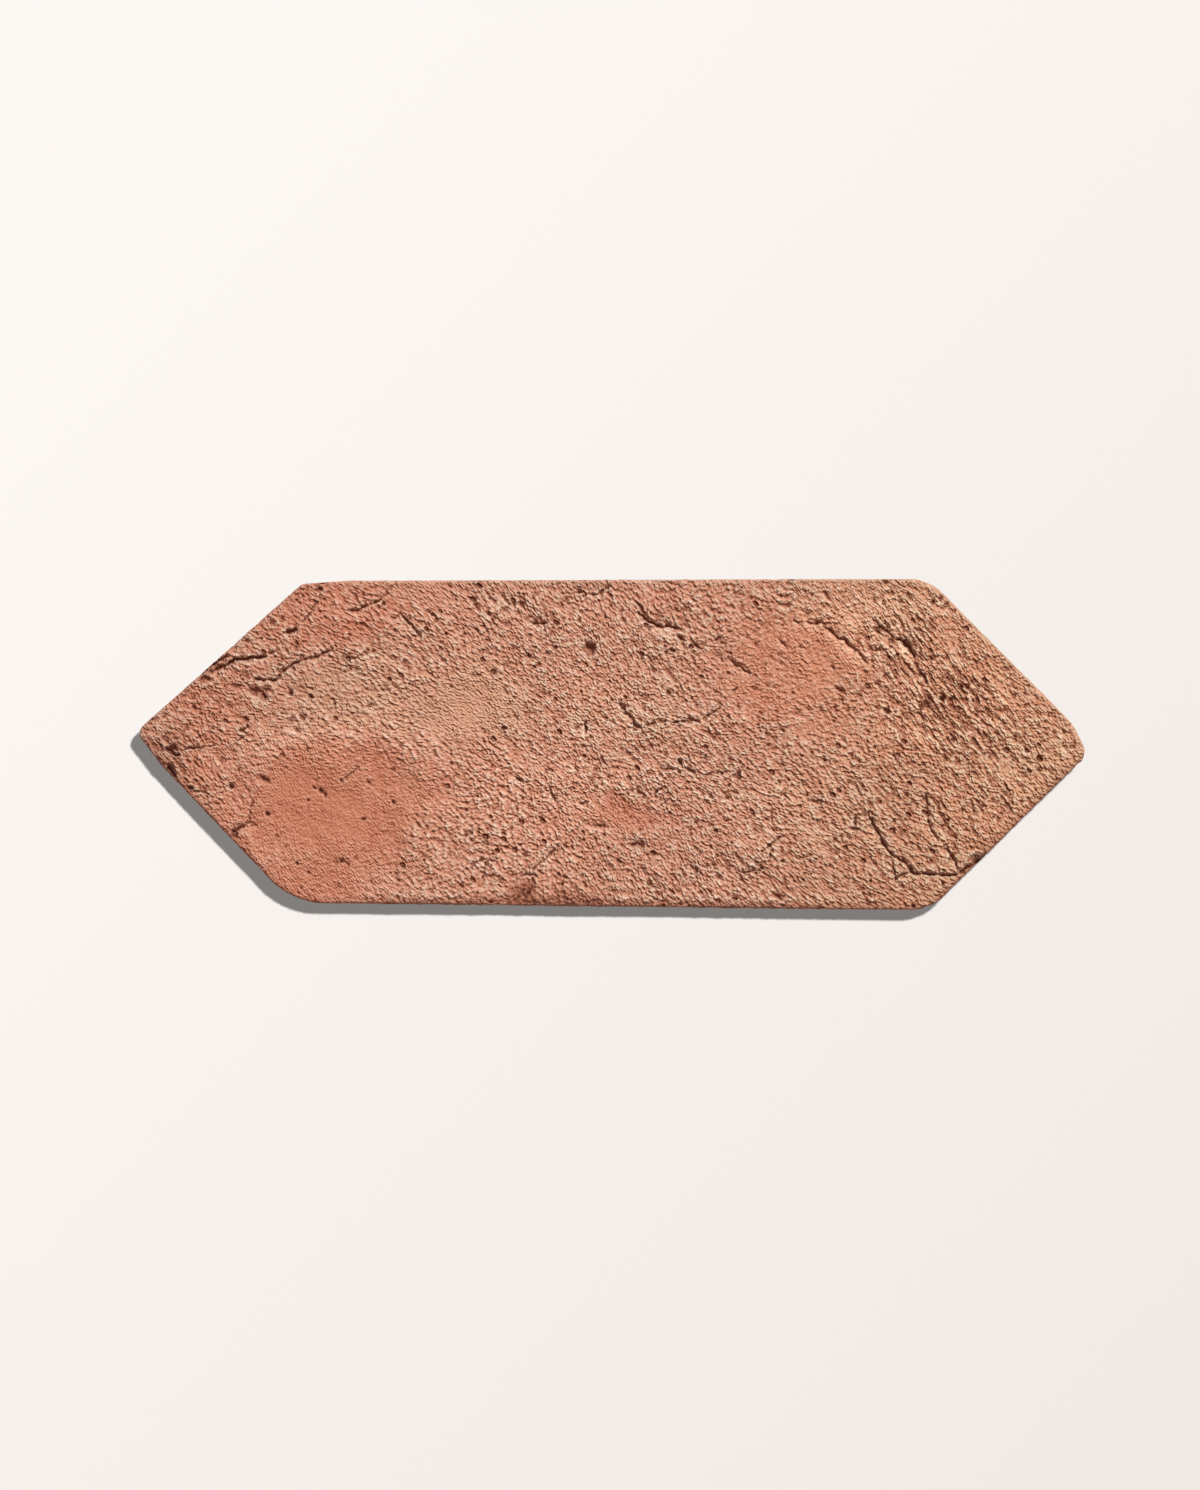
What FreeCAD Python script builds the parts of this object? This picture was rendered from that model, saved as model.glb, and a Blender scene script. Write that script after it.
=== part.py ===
import FreeCAD
import Part
import math
import os
import Sketcher

# Handmade terracotta floor tile: a long hexagon with a square point at each end, one fired piece of clay.
# +X runs along the tile, +Y across it and +Z up through the face that is walked on.
# The origin is the middle of the underside. Lengths are millimetres and angles are degrees.

# Driving dimensions, each with what it measures on the tile
DIMENSIONS = [
    ("overall_length", 296.0, "over the two rounded points, at the face"),
    ("overall_width", 103.6, "over the long edges at the right shoulders, the widest place, at the face"),
    ("thickness", 16.0, "underside to walking face"),
    ("upper_edge_fall", 0.7, "the upper long edge comes in by this much from right to left"),
    ("lower_edge_rise", 2.3, "the lower long edge comes in by this much from right to left"),
    ("right_setback", 49.1, "right end to both right shoulders, along the tile"),
    ("upper_left_setback", 52.2, "left end to the upper left shoulder, along the tile"),
    ("lower_left_setback", 48.0, "left end to the lower left shoulder, along the tile"),
    ("right_point_drop", 0.7, "the right point lies this far below the middle line"),
    ("left_point_rise", 3.4, "the left point lies this far above the middle line"),
    ("right_point_radius", 7.5, "plan radius of the worn right point"),
    ("upper_right_radius", 14.0, "plan radius of the upper right shoulder"),
    ("upper_left_radius", 7.5, "plan radius of the upper left shoulder"),
    ("left_point_radius", 4.2, "plan radius of the left point"),
    ("lower_left_radius", 22.0, "plan radius of the lower left shoulder"),
    ("lower_right_radius", 14.5, "plan radius of the lower right shoulder"),
    ("side_draft", 2.0, "lean of the cut sides, in towards the underside"),
    ("face_arris", 1.2, "rounding of the worn upper edge"),
    ("base_arris", 0.9, "rounding of the lower edge"),
    ("crack_width", 1.1, "drying crack at its widest"),
    ("crack_depth", 3.2, "drying crack below the walking face"),
    ("rift_width", 2.4, "torn rift at its widest"),
    ("rift_depth", 1.5, "torn rift below the walking face"),
    ("blowhole_radius", 2.4, "burst air bubble"),
    ("blowhole_depth", 2.0, "burst air bubble below the walking face"),
    ("long_chip_run", 10.4, "long edge chip, along its side"),
    ("short_chip_run", 4.8, "short edge chip, along its side"),
    ("chip_reach", 1.8, "edge chip, in from the side"),
    ("chip_depth", 2.8, "edge chip, down from the face"),
]

# A right-angled corner loses this share of its radius when it wears round
WORN_OFF = math.sqrt(2) - 1

# Places that the blemishes hang on, as expressions of the driving dimensions, along the tile and across it
HALF_LENGTH = "Dimensions.overall_length / 2"
HALF_WIDTH = "Dimensions.overall_width / 2"
UPPER_LEFT_X = f"(Dimensions.upper_left_setback - {HALF_LENGTH})"
UPPER_LEFT_Y = f"({HALF_WIDTH} - Dimensions.upper_edge_fall)"
LOWER_LEFT_X = f"(Dimensions.lower_left_setback - {HALF_LENGTH})"
LOWER_LEFT_Y = f"(Dimensions.lower_edge_rise - {HALF_WIDTH})"
RIGHT_X = f"({HALF_LENGTH} - Dimensions.right_setback)"
LEFT_TIP_X = f"(-{HALF_LENGTH} - {WORN_OFF:.4f} * Dimensions.left_point_radius)"
RIGHT_TIP_X = f"({HALF_LENGTH} + {WORN_OFF:.4f} * Dimensions.right_point_radius)"
ANCHORS = {
    "middle": ("0", "0"),
    "left_point": (f"-{HALF_LENGTH}", "Dimensions.left_point_rise"),
    "upper_left_shoulder": (UPPER_LEFT_X, UPPER_LEFT_Y),
    "upper_right_shoulder": (RIGHT_X, HALF_WIDTH),
    "lower_right_shoulder": (RIGHT_X, f"-{HALF_WIDTH}"),
    "upper_edge": (f"({UPPER_LEFT_X} + {RIGHT_X}) / 2", f"({UPPER_LEFT_Y} + {HALF_WIDTH}) / 2"),
    "lower_edge": (f"({LOWER_LEFT_X} + {RIGHT_X}) / 2", f"({LOWER_LEFT_Y} - {HALF_WIDTH}) / 2"),
    "upper_left_side": (
        f"({UPPER_LEFT_X} + {LEFT_TIP_X}) / 2",
        f"({UPPER_LEFT_Y} + Dimensions.left_point_rise) / 2",
    ),
    "lower_left_side": (
        f"({LOWER_LEFT_X} + {LEFT_TIP_X}) / 2",
        f"({LOWER_LEFT_Y} + Dimensions.left_point_rise) / 2",
    ),
    "lower_right_side": (
        f"({RIGHT_X} + {RIGHT_TIP_X}) / 2",
        f"(-{HALF_WIDTH} - Dimensions.right_point_drop) / 2",
    ),
}

# Directions of the two lower slanting sides, left to right, as expressions
SIDE_ANGLES = {
    "lower_left_side": f"atan2({LOWER_LEFT_Y} - Dimensions.left_point_rise; {LOWER_LEFT_X} - {LEFT_TIP_X})",
    "lower_right_side": f"atan2({HALF_WIDTH} - Dimensions.right_point_drop; {RIGHT_TIP_X} - {RIGHT_X})",
}

# Open cracks in the face: name, the place it hangs on, crack or rift, whether it runs out over the edge,
# and its middle line as steps from that place
CRACKS = [
    ("left_rim_crack", "upper_left_side", "crack", True,
     [(-5.0, -6.5), (-1.8, -4.2), (2.8, -1.6), (7.2, -0.4), (13.0, 0.2), (18.2, 1.8)]),
    ("left_inner_crack", "upper_left_shoulder", "crack", False,
     [(-16.5, -30.8), (-10.8, -31.5), (-7.6, -29.0), (-4.0, -26.0), (1.5, -24.5), (8.5, -21.4)]),
    ("upper_left_rift", "upper_left_shoulder", "rift", False,
     [(28.6, -10.2), (31.5, -12.8), (34.4, -15.9), (36.2, -19.2)]),
    ("left_point_crack", "left_point", "crack", True,
     [(2.4, -7.6), (8.4, -4.9), (12.2, -6.6), (19.6, -4.5), (25.4, -2.9)]),
    ("upper_crack", "upper_edge", "crack", False,
     [(6.2, -7.0), (7.6, -10.0), (9.8, -13.1), (13.7, -14.4), (18.4, -14.9), (22.0, -18.8)]),
    ("middle_crack", "middle", "crack", False,
     [(2.8, 12.7), (4.6, 9.6), (8.2, 5.2), (12.5, 6.6), (16.4, 7.2)]),
    ("right_rift", "upper_right_shoulder", "rift", False,
     [(-14.5, -16.8), (-8.4, -19.6), (-5.3, -23.1), (-3.1, -27.9), (-0.9, -31.9), (3.1, -35.8)]),
    ("lower_right_crack", "lower_right_shoulder", "crack", True,
     [(14.6, 10.0), (6.0, 10.6), (-1.9, 11.4), (-6.0, 12.4), (-10.7, 16.2), (-15.1, 22.6), (-17.7, 29.6)]),
    ("lower_right_branch", "lower_right_shoulder", "crack", False,
     [(9.3, 10.6), (7.6, 16.0), (3.0, 20.8), (1.2, 26.1), (-0.4, 34.9)]),
    ("lower_edge_crack", "lower_edge", "crack", True,
     [(-28.0, -3.0), (-26.0, 2.4), (-24.5, 6.9), (-24.1, 9.9)]),
]

# The burst air bubble lies this far along and across from the middle of the upper edge
BLOWHOLE_STEP = (-9.1, -21.3)

# Chips out of the upper edge: name, the side it is in, how far along that side from its middle, and its run
CHIPS = [
    ("left_point_chip", "lower_left_side", -19.0, "short_chip_run"),
    ("lower_left_chip", "lower_left_side", 8.4, "short_chip_run"),
    ("lower_right_chip", "lower_right_side", -16.8, "long_chip_run"),
]

NODE = "terracotta_tile"

# Heights closer than this are one height, and a blemish takes at least this much clay, in cubic millimetres
TOUCHING = 1e-4
LEAST_CLAY_LOST = 1.0


def make_sheet(doc):
    """The spreadsheet that holds every driving dimension, one named cell each."""
    sheet = doc.addObject("Spreadsheet::Sheet", "Dimensions")
    for row, (alias, value, meaning) in enumerate(DIMENSIONS, start=1):
        sheet.set(f"A{row}", alias)
        sheet.set(f"B{row}", str(value))
        sheet.set(f"C{row}", meaning)
        sheet.setAlias(f"B{row}", alias)
    doc.recompute()
    return sheet


def sharp_corners(sheet):
    """The six corners as they were before they wore round, anticlockwise from the right point."""
    half_length = sheet.overall_length / 2
    half_width = sheet.overall_width / 2
    right = half_length - sheet.right_setback
    right_tip = half_length + WORN_OFF * sheet.right_point_radius
    left_tip = -half_length - WORN_OFF * sheet.left_point_radius
    upper_left = sheet.upper_left_setback - half_length
    lower_left = sheet.lower_left_setback - half_length
    return {
        "right_point": FreeCAD.Vector(right_tip, -sheet.right_point_drop, 0),
        "upper_right": FreeCAD.Vector(right, half_width, 0),
        "upper_left": FreeCAD.Vector(upper_left, half_width - sheet.upper_edge_fall, 0),
        "left_point": FreeCAD.Vector(left_tip, sheet.left_point_rise, 0),
        "lower_left": FreeCAD.Vector(lower_left, sheet.lower_edge_rise - half_width, 0),
        "lower_right": FreeCAD.Vector(right, -half_width, 0),
    }


def rounded_corner(before, corner, after, radius):
    """Start, arc and end of the rounding of one corner of an anticlockwise outline."""
    arriving = (corner - before).normalize()
    leaving = (after - corner).normalize()
    turn = arriving.getAngle(leaving)
    start = corner - arriving * (radius * math.tan(turn / 2))
    end = corner + leaving * (radius * math.tan(turn / 2))
    centre = start + FreeCAD.Vector(-arriving.y, arriving.x, 0) * radius
    from_angle = math.atan2(start.y - centre.y, start.x - centre.x)
    circle = Part.Circle(centre, FreeCAD.Vector(0, 0, 1), radius)
    return start, Part.ArcOfCircle(circle, from_angle, from_angle + turn), end


def constrain(sketch, name, expression, *what):
    """Adds one dimension to a sketch and ties it to the sheet."""
    index = sketch.addConstraint(Sketcher.Constraint(*what))
    sketch.renameConstraint(index, name)
    sketch.setExpression(f"Constraints.{name}", expression)


def place_across(sketch, name, point, sign, expression):
    """Sets how far a point lies above (sign 1) or below (sign -1) the middle line of the tile."""
    ends = (-1, 1, point, 1) if sign > 0 else (point, 1, -1, 1)
    constrain(sketch, name, expression, "DistanceY", *ends, sign * sketch.getPoint(point, 1).y)


def place_along(sketch, name, point, sign, expression):
    """Sets how far a point lies right (sign 1) or left (sign -1) of the middle of the tile."""
    ends = (-1, 1, point, 1) if sign > 0 else (point, 1, -1, 1)
    constrain(sketch, name, expression, "DistanceX", *ends, sign * sketch.getPoint(point, 1).x)


def draw_outline(sketch, sheet):
    """The six-sided plan of the face: straight sides and a rounding at each corner, fully constrained."""
    corners = sharp_corners(sheet)
    names = list(corners)
    count = len(names)
    rounded = []
    for i, name in enumerate(names):
        before = corners[names[i - 1]]
        after = corners[names[(i + 1) % count]]
        rounded.append(rounded_corner(before, corners[name], after, getattr(sheet, f"{name}_radius")))
    lines = []
    arcs = []
    marks = []
    for i in range(count):
        following = (i + 1) % count
        lines.append(sketch.addGeometry(Part.LineSegment(rounded[i][2], rounded[following][0]), False))
    for i, name in enumerate(names):
        arcs.append(sketch.addGeometry(rounded[i][1], False))
        marks.append(sketch.addGeometry(Part.Point(corners[name]), True))
    for i in range(count):
        sketch.addConstraint(Sketcher.Constraint("Tangent", lines[i - 1], 2, arcs[i], 1))
        sketch.addConstraint(Sketcher.Constraint("Tangent", arcs[i], 2, lines[i], 1))
        sketch.addConstraint(Sketcher.Constraint("PointOnObject", marks[i], 1, lines[i - 1]))
        sketch.addConstraint(Sketcher.Constraint("PointOnObject", marks[i], 1, lines[i]))
        constrain(sketch, f"{names[i]}_round", f"Dimensions.{names[i]}_radius",
                  "Radius", arcs[i], getattr(sheet, f"{names[i]}_radius"))
    mark = dict(zip(names, marks))
    place_along(sketch, "upper_right_along", mark["upper_right"], 1, RIGHT_X)
    place_along(sketch, "lower_right_along", mark["lower_right"], 1, RIGHT_X)
    place_along(sketch, "upper_left_along", mark["upper_left"], -1, f"-{UPPER_LEFT_X}")
    place_along(sketch, "lower_left_along", mark["lower_left"], -1, f"-{LOWER_LEFT_X}")
    place_across(sketch, "upper_right_across", mark["upper_right"], 1, HALF_WIDTH)
    place_across(sketch, "upper_left_across", mark["upper_left"], 1, UPPER_LEFT_Y)
    place_across(sketch, "lower_left_across", mark["lower_left"], -1, f"-{LOWER_LEFT_Y}")
    place_across(sketch, "lower_right_across", mark["lower_right"], -1, HALF_WIDTH)
    place_across(sketch, "left_point_across", mark["left_point"], 1, "Dimensions.left_point_rise")
    place_across(sketch, "right_point_across", mark["right_point"], -1, "Dimensions.right_point_drop")
    for name, sign in (("left_point", -1), ("right_point", 1)):
        hold_point_end(sketch, name, arcs[names.index(name)], sign, sheet)


def hold_point_end(sketch, name, arc, sign, sheet):
    """Measures the length over the worn points: the outermost spot of each is at half the length."""
    rounding = sketch.Geometry[arc]
    outermost = rounding.Center + FreeCAD.Vector(sign * rounding.Radius, 0, 0)
    spot = sketch.addGeometry(Part.Point(outermost), True)
    sketch.addConstraint(Sketcher.Constraint("PointOnObject", spot, 1, arc))
    sketch.addConstraint(Sketcher.Constraint("Horizontal", spot, 1, arc, 3))
    place_along(sketch, f"{name}_end", spot, sign, HALF_LENGTH)


def sketch_on_face(body, name, anchor):
    """An empty sketch on the walking face, with its origin at one of the named places of the tile."""
    sketch = body.newObject("Sketcher::SketchObject", name)
    ground = next(plane for plane in body.Origin.OriginFeatures if plane.Role == "XY_Plane")
    sketch.AttachmentSupport = [(ground, "")]
    sketch.MapMode = "FlatFace"
    along, across = ANCHORS[anchor]
    sketch.setExpression("AttachmentOffset.Base.x", along)
    sketch.setExpression("AttachmentOffset.Base.y", across)
    sketch.setExpression("AttachmentOffset.Base.z", "Dimensions.thickness")
    return sketch


def edges_at_height(shape, height):
    """Names of the edges that lie flat at one height."""
    found = []
    for number, edge in enumerate(shape.Edges, start=1):
        if all(abs(vertex.Z - height) < TOUCHING for vertex in edge.Vertexes):
            found.append(f"Edge{number}")
    return found


def round_edges(body, doc, name, height, expression):
    """Rounds the whole edge of the tile at one height."""
    base = body.Tip
    fillet = body.newObject("PartDesign::Fillet", name)
    fillet.Base = (base, edges_at_height(base.Shape, height))
    fillet.setExpression("Radius", expression)
    base.Visibility = False
    doc.recompute()


def make_slab(body, doc, sheet):
    """The plain tile: the plan of the face carried down, with leaning sides and worn edges."""
    outline = sketch_on_face(body, "face_outline", "middle")
    draw_outline(outline, sheet)
    slab = body.newObject("PartDesign::Pad", "slab")
    slab.Profile = outline
    slab.Reversed = True
    slab.setExpression("Length", "Dimensions.thickness")
    slab.setExpression("TaperAngle", "-Dimensions.side_draft")
    doc.recompute()
    round_edges(body, doc, "worn_face_edge", sheet.thickness, "Dimensions.face_arris")
    round_edges(body, doc, "base_edge", 0.0, "Dimensions.base_arris")


def crack_outline(line, runs_out):
    """The two lips of a crack: each corner's place on the middle line and its lean per unit of width."""
    points = [FreeCAD.Vector(x, y, 0) for x, y in line]
    last = len(points) - 1
    one_lip = []
    other_lip = []
    for i in range(0 if runs_out else 1, last):
        along = (points[i + 1] - points[max(i - 1, 0)]).normalize()
        side = FreeCAD.Vector(-along.y, along.x, 0)
        openness = (last - i) / last if runs_out else math.sin(math.pi * i / last)
        lean = side * (math.sqrt(openness) / 2)
        one_lip.append((points[i], lean))
        other_lip.append((points[i], lean * -1))
    closed_end = (points[last], FreeCAD.Vector())
    ring = one_lip + [closed_end] + other_lip[::-1]
    return ring if runs_out else [(points[0], FreeCAD.Vector())] + ring


def cut_crack(body, doc, sheet, name, anchor, kind, runs_out, line):
    """One open crack, cut down from the face between its two lips."""
    sketch = sketch_on_face(body, f"{name}_lips", anchor)
    ring = crack_outline(line, runs_out)
    width = getattr(sheet, f"{kind}_width")
    drawn = [place + lean * width for place, lean in ring]
    count = len(ring)
    for i in range(count):
        sketch.addGeometry(Part.LineSegment(drawn[i], drawn[(i + 1) % count]), False)
    for i in range(count):
        sketch.addConstraint(Sketcher.Constraint("Coincident", i, 2, (i + 1) % count, 1))
    for i, (place, lean) in enumerate(ring):
        constrain(sketch, f"lip_{i}_along", f"{place.x:.3f} + {lean.x:.4f} * Dimensions.{kind}_width",
                  "DistanceX", -1, 1, i, 1, drawn[i].x)
        constrain(sketch, f"lip_{i}_across", f"{place.y:.3f} + {lean.y:.4f} * Dimensions.{kind}_width",
                  "DistanceY", -1, 1, i, 1, drawn[i].y)
    crack = body.newObject("PartDesign::Pocket", name)
    crack.Profile = sketch
    crack.setExpression("Length", f"Dimensions.{kind}_depth")
    doc.recompute()


def seat(feature, body, along, across, height):
    """Puts a cutting shape at a place given by expressions."""
    ground = next(plane for plane in body.Origin.OriginFeatures if plane.Role == "XY_Plane")
    feature.AttachmentSupport = [(ground, "")]
    feature.MapMode = "FlatFace"
    feature.setExpression("AttachmentOffset.Base.x", along)
    feature.setExpression("AttachmentOffset.Base.y", across)
    feature.setExpression("AttachmentOffset.Base.z", height)


def cut_blowhole(body, doc):
    """The pit that a burst air bubble left near the upper edge."""
    hole = body.newObject("PartDesign::SubtractiveSphere", "blowhole")
    along, across = ANCHORS["upper_edge"]
    step_along, step_across = BLOWHOLE_STEP
    hole.setExpression("Radius", "Dimensions.blowhole_radius")
    seat(hole, body, f"{along} + {step_along}", f"{across} + {step_across}",
         "Dimensions.thickness - Dimensions.blowhole_depth + Dimensions.blowhole_radius")
    doc.recompute()


def cut_chip(body, doc, name, side, step, run):
    """One flake broken out of the worn upper edge."""
    chip = body.newObject("PartDesign::SubtractiveEllipsoid", name)
    along, across = ANCHORS[side]
    angle = SIDE_ANGLES[side]
    chip.setExpression("Radius1", "Dimensions.chip_depth")
    chip.setExpression("Radius2", f"Dimensions.{run} / 2")
    chip.setExpression("Radius3", "Dimensions.chip_reach")
    seat(chip, body, f"{along} + {step} * cos({angle})", f"{across} + {step} * sin({angle})",
         "Dimensions.thickness")
    chip.setExpression("AttachmentOffset.Rotation.Angle", angle)
    doc.recompute()


def check(doc, body):
    """Stops the build if any feature failed or the tile isn't one sound solid."""
    for thing in doc.Objects:
        if "Invalid" in thing.State or "Error" in thing.State:
            raise RuntimeError(f"{thing.Name} failed: {thing.State}")
    shape = body.Shape
    if shape.isNull() or not shape.isValid() or len(shape.Solids) != 1:
        raise RuntimeError("the tile is not one sound solid")


def lost(body, name, before):
    """Makes sure that a blemish really took clay away, and gives the volume that is left."""
    after = body.Shape.Volume
    print(name, "takes", round(before - after, 1), "cubic mm")
    if after > before - LEAST_CLAY_LOST:
        raise RuntimeError(f"{name} cuts nothing")
    return after


def main():
    doc = FreeCAD.newDocument("TerracottaTile")
    sheet = make_sheet(doc)
    body = doc.addObject("PartDesign::Body", NODE)
    body.Label = NODE
    make_slab(body, doc, sheet)
    volume = body.Shape.Volume
    for crack in CRACKS:
        cut_crack(body, doc, sheet, *crack)
        volume = lost(body, crack[0], volume)
    cut_blowhole(body, doc)
    volume = lost(body, "blowhole", volume)
    for chip in CHIPS:
        cut_chip(body, doc, *chip)
        volume = lost(body, chip[0], volume)
    check(doc, body)
    os.makedirs("parts", exist_ok=True)
    body.Shape.exportStep(f"parts/{NODE}.step")
    print(NODE, "volume", round(volume), "cubic mm, box", body.Shape.optimalBoundingBox())


main()
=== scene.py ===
# %% [markdown]
# # A handmade terracotta floor tile
# The tile is one lump of clay that was pressed into a frame, cut to a long hexagon, dried and fired.
# This lesson builds it the way a sculptor would: a clean slab first, then a dense skin of small faces,
# then the cracks, pits and grain, and last the colour of the fired clay.

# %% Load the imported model
import math

import bmesh
import bpy
import numpy as np
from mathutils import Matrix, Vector, noise


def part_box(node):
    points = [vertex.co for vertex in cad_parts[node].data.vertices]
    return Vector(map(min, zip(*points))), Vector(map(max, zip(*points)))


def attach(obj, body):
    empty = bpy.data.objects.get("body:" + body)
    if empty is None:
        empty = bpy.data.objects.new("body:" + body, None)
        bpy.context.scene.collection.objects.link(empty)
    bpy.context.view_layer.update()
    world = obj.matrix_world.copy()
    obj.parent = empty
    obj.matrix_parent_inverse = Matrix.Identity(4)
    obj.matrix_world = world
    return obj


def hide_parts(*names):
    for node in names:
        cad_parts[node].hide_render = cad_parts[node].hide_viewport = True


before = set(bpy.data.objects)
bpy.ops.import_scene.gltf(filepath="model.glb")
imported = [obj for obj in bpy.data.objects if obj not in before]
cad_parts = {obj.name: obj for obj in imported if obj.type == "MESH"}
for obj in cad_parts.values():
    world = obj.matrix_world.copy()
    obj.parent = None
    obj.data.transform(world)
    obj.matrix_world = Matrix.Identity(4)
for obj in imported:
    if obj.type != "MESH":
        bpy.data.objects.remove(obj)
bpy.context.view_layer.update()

MM = 0.001
TILE_LOW, TILE_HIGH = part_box("terracotta_tile")
FACE_HEIGHT = TILE_HIGH.z
TILE_LENGTH = TILE_HIGH.x - TILE_LOW.x
print("tile from the drawing:", [round(v / MM, 1) for v in TILE_HIGH - TILE_LOW], "mm")

# %% [markdown]
# ## The camera
# The photograph looks straight down from far away, so no side of the tile shows. A long lens does the
# same here. The tile's length in the photograph gives the size of one of its pixels at the walking face,
# and from that follow the camera's height and where it aims.

# %% Camera
PHOTO_HEIGHT = 1490
PHOTO_MIDDLE = (600.0, 745.0)
TILE_MIDDLE_IN_PHOTO = (612.0, 744.5)
TILE_LENGTH_IN_PHOTO = 946
LENS = 700.0
SENSOR = 36.0

pixel = TILE_LENGTH / TILE_LENGTH_IN_PHOTO
camera_height = FACE_HEIGHT + PHOTO_HEIGHT * pixel * LENS / SENSOR
aim_x = (PHOTO_MIDDLE[0] - TILE_MIDDLE_IN_PHOTO[0]) * pixel
aim_y = (TILE_MIDDLE_IN_PHOTO[1] - PHOTO_MIDDLE[1]) * pixel
bpy.ops.object.select_all(action="DESELECT")
bpy.ops.object.camera_add(location=(aim_x, aim_y, camera_height), rotation=(0, 0, 0))
camera = bpy.context.object
camera.name = "overhead_camera"
camera.data.lens = LENS
camera.data.sensor_width = SENSOR
bpy.context.scene.camera = camera
print("camera height, m:", round(camera_height, 3), "and one photo pixel, mm:", round(pixel / MM, 4))

# %% [markdown]
# ## The outline
# The plan is a long hexagon that isn't quite even, because it was cut by hand, and three of its corners
# wore to two angles. A circle with one corner for each angle is the start. Its corners are moved to their
# places, in millimetres from the middle of the tile, and each is rounded by a vertex bevel with a radius
# of its own, as each wore differently.

# %% Outline
CORNERS = {
    "right_point": (148.8, -3.2, 4.2),
    "right_shoulder": (144.4, 6.2, 14.0),
    "upper_right": (98.9, 51.9, 14.0),
    "upper_left_step": (-83.0, 51.25, 40.0),
    "upper_left": (-97.0, 50.3, 3.5),
    "left_point": (-149.0, 3.9, 3.0),
    "left_shoulder": (-140.7, -6.9, 20.0),
    "lower_left": (-100.0, -49.6, 22.0),
    "lower_right": (99.1, -52.0, 14.5),
}
CORNER_STEPS = 12
HAIR = 0.1 * MM


def edit(tool):
    """Goes into edit mode with nothing selected, lets a function use the mesh, and comes back."""
    bpy.ops.object.mode_set(mode="EDIT")
    bpy.ops.mesh.select_all(action="DESELECT")
    tool()
    bpy.ops.object.mode_set(mode="OBJECT")


def select(kind, wanted):
    """Selects the vertices, edges or faces of the mesh in edit mode that a test wants."""
    bpy.ops.mesh.select_mode(type=kind)
    bpy.ops.mesh.select_all(action="DESELECT")
    mesh = bmesh.from_edit_mesh(bpy.context.object.data)
    for thing in {"VERT": mesh.verts, "EDGE": mesh.edges, "FACE": mesh.faces}[kind]:
        if wanted(thing):
            thing.select_set(True)
    mesh.select_flush_mode()
    bmesh.update_edit_mesh(bpy.context.object.data)


def round_corners():
    names = list(CORNERS)
    for i, name in enumerate(names):
        x, y, radius = CORNERS[name]
        before = CORNERS[names[i - 1]]
        after = CORNERS[names[(i + 1) % len(names)]]
        arriving = math.atan2(y - before[1], x - before[0])
        leaving = math.atan2(after[1] - y, after[0] - x)
        turn = (leaving - arriving) % (2 * math.pi)
        corner = Vector((x * MM, y * MM, 0))
        select("VERT", lambda vertex: (vertex.co - corner).length < HAIR)
        bpy.ops.mesh.bevel(offset=radius * MM * math.tan(turn / 2), segments=CORNER_STEPS, affect="VERTICES")


bpy.ops.object.select_all(action="DESELECT")
bpy.ops.mesh.primitive_circle_add(vertices=len(CORNERS), radius=TILE_LENGTH / 2, fill_type="NGON")
tile = bpy.context.object
tile.name = "fired_tile"
for vertex, (x, y, radius) in zip(tile.data.vertices, CORNERS.values()):
    vertex.co = (x * MM, y * MM, 0)
edit(round_corners)
print("outline:", len(tile.data.vertices), "points round", len(CORNERS), "corners")

# %% [markdown]
# ## The slab
# A frame for tiles usually leans outwards, so that the clay comes out of it. So the base is a little
# smaller than the face: the outline is inset by that much and the inner part pushed down to the floor,
# which leaves the leaning sides. A face is filled in on top, and both edges are bevelled.

# %% Slab
SIDE_DRAFT = math.radians(2.0)
FACE_ARRIS = 0.4 * MM
FACE_ARRIS_STEPS = 6
BASE_ARRIS = 0.9 * MM
BASE_ARRIS_STEPS = 3


def draw_out_slab():
    select("FACE", lambda face: True)
    bpy.ops.mesh.inset(thickness=FACE_HEIGHT * math.tan(SIDE_DRAFT))
    bpy.ops.transform.translate(value=(0, 0, -FACE_HEIGHT))
    select("EDGE", lambda edge: all(vertex.co.z > -HAIR for vertex in edge.verts))
    bpy.ops.mesh.edge_face_add()
    bpy.ops.mesh.bevel(offset=FACE_ARRIS, segments=FACE_ARRIS_STEPS, affect="EDGES")
    select("EDGE", lambda edge: all(vertex.co.z < HAIR - FACE_HEIGHT for vertex in edge.verts))
    bpy.ops.mesh.bevel(offset=BASE_ARRIS, segments=BASE_ARRIS_STEPS, affect="EDGES")
    bpy.ops.mesh.select_all(action="SELECT")
    bpy.ops.mesh.normals_make_consistent(inside=False)
    bpy.ops.transform.translate(value=(0, 0, FACE_HEIGHT))


edit(draw_out_slab)
print("slab:", [round(v / MM, 1) for v in tile.dimensions], "mm,", len(tile.data.polygons), "faces")

# %% [markdown]
# ## A skin that can be carved
# A sculptor needs even, small faces. The Remesh modifier rebuilds the slab from little cubes. The sides
# need fewer faces than the walking face, so they are thinned out, and the underside, which lies on the
# floor, is replaced by one flat face.

# %% Skin
SKIN_STEP = 0.64 * MM
SIDE_TOP = 11.0 * MM
SIDE_SHARE = 0.25
FACING_DOWN = -0.9


def apply_modifier(piece, kind, **settings):
    """Adds a modifier to a piece, gives it its settings and applies it at once."""
    bpy.ops.object.select_all(action="DESELECT")
    piece.select_set(True)
    bpy.context.view_layer.objects.active = piece
    bpy.ops.object.modifier_add(type=kind)
    modifier = piece.modifiers[-1]
    for name, value in settings.items():
        setattr(modifier, name, value)
    bpy.ops.object.modifier_apply(modifier=modifier.name)


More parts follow.
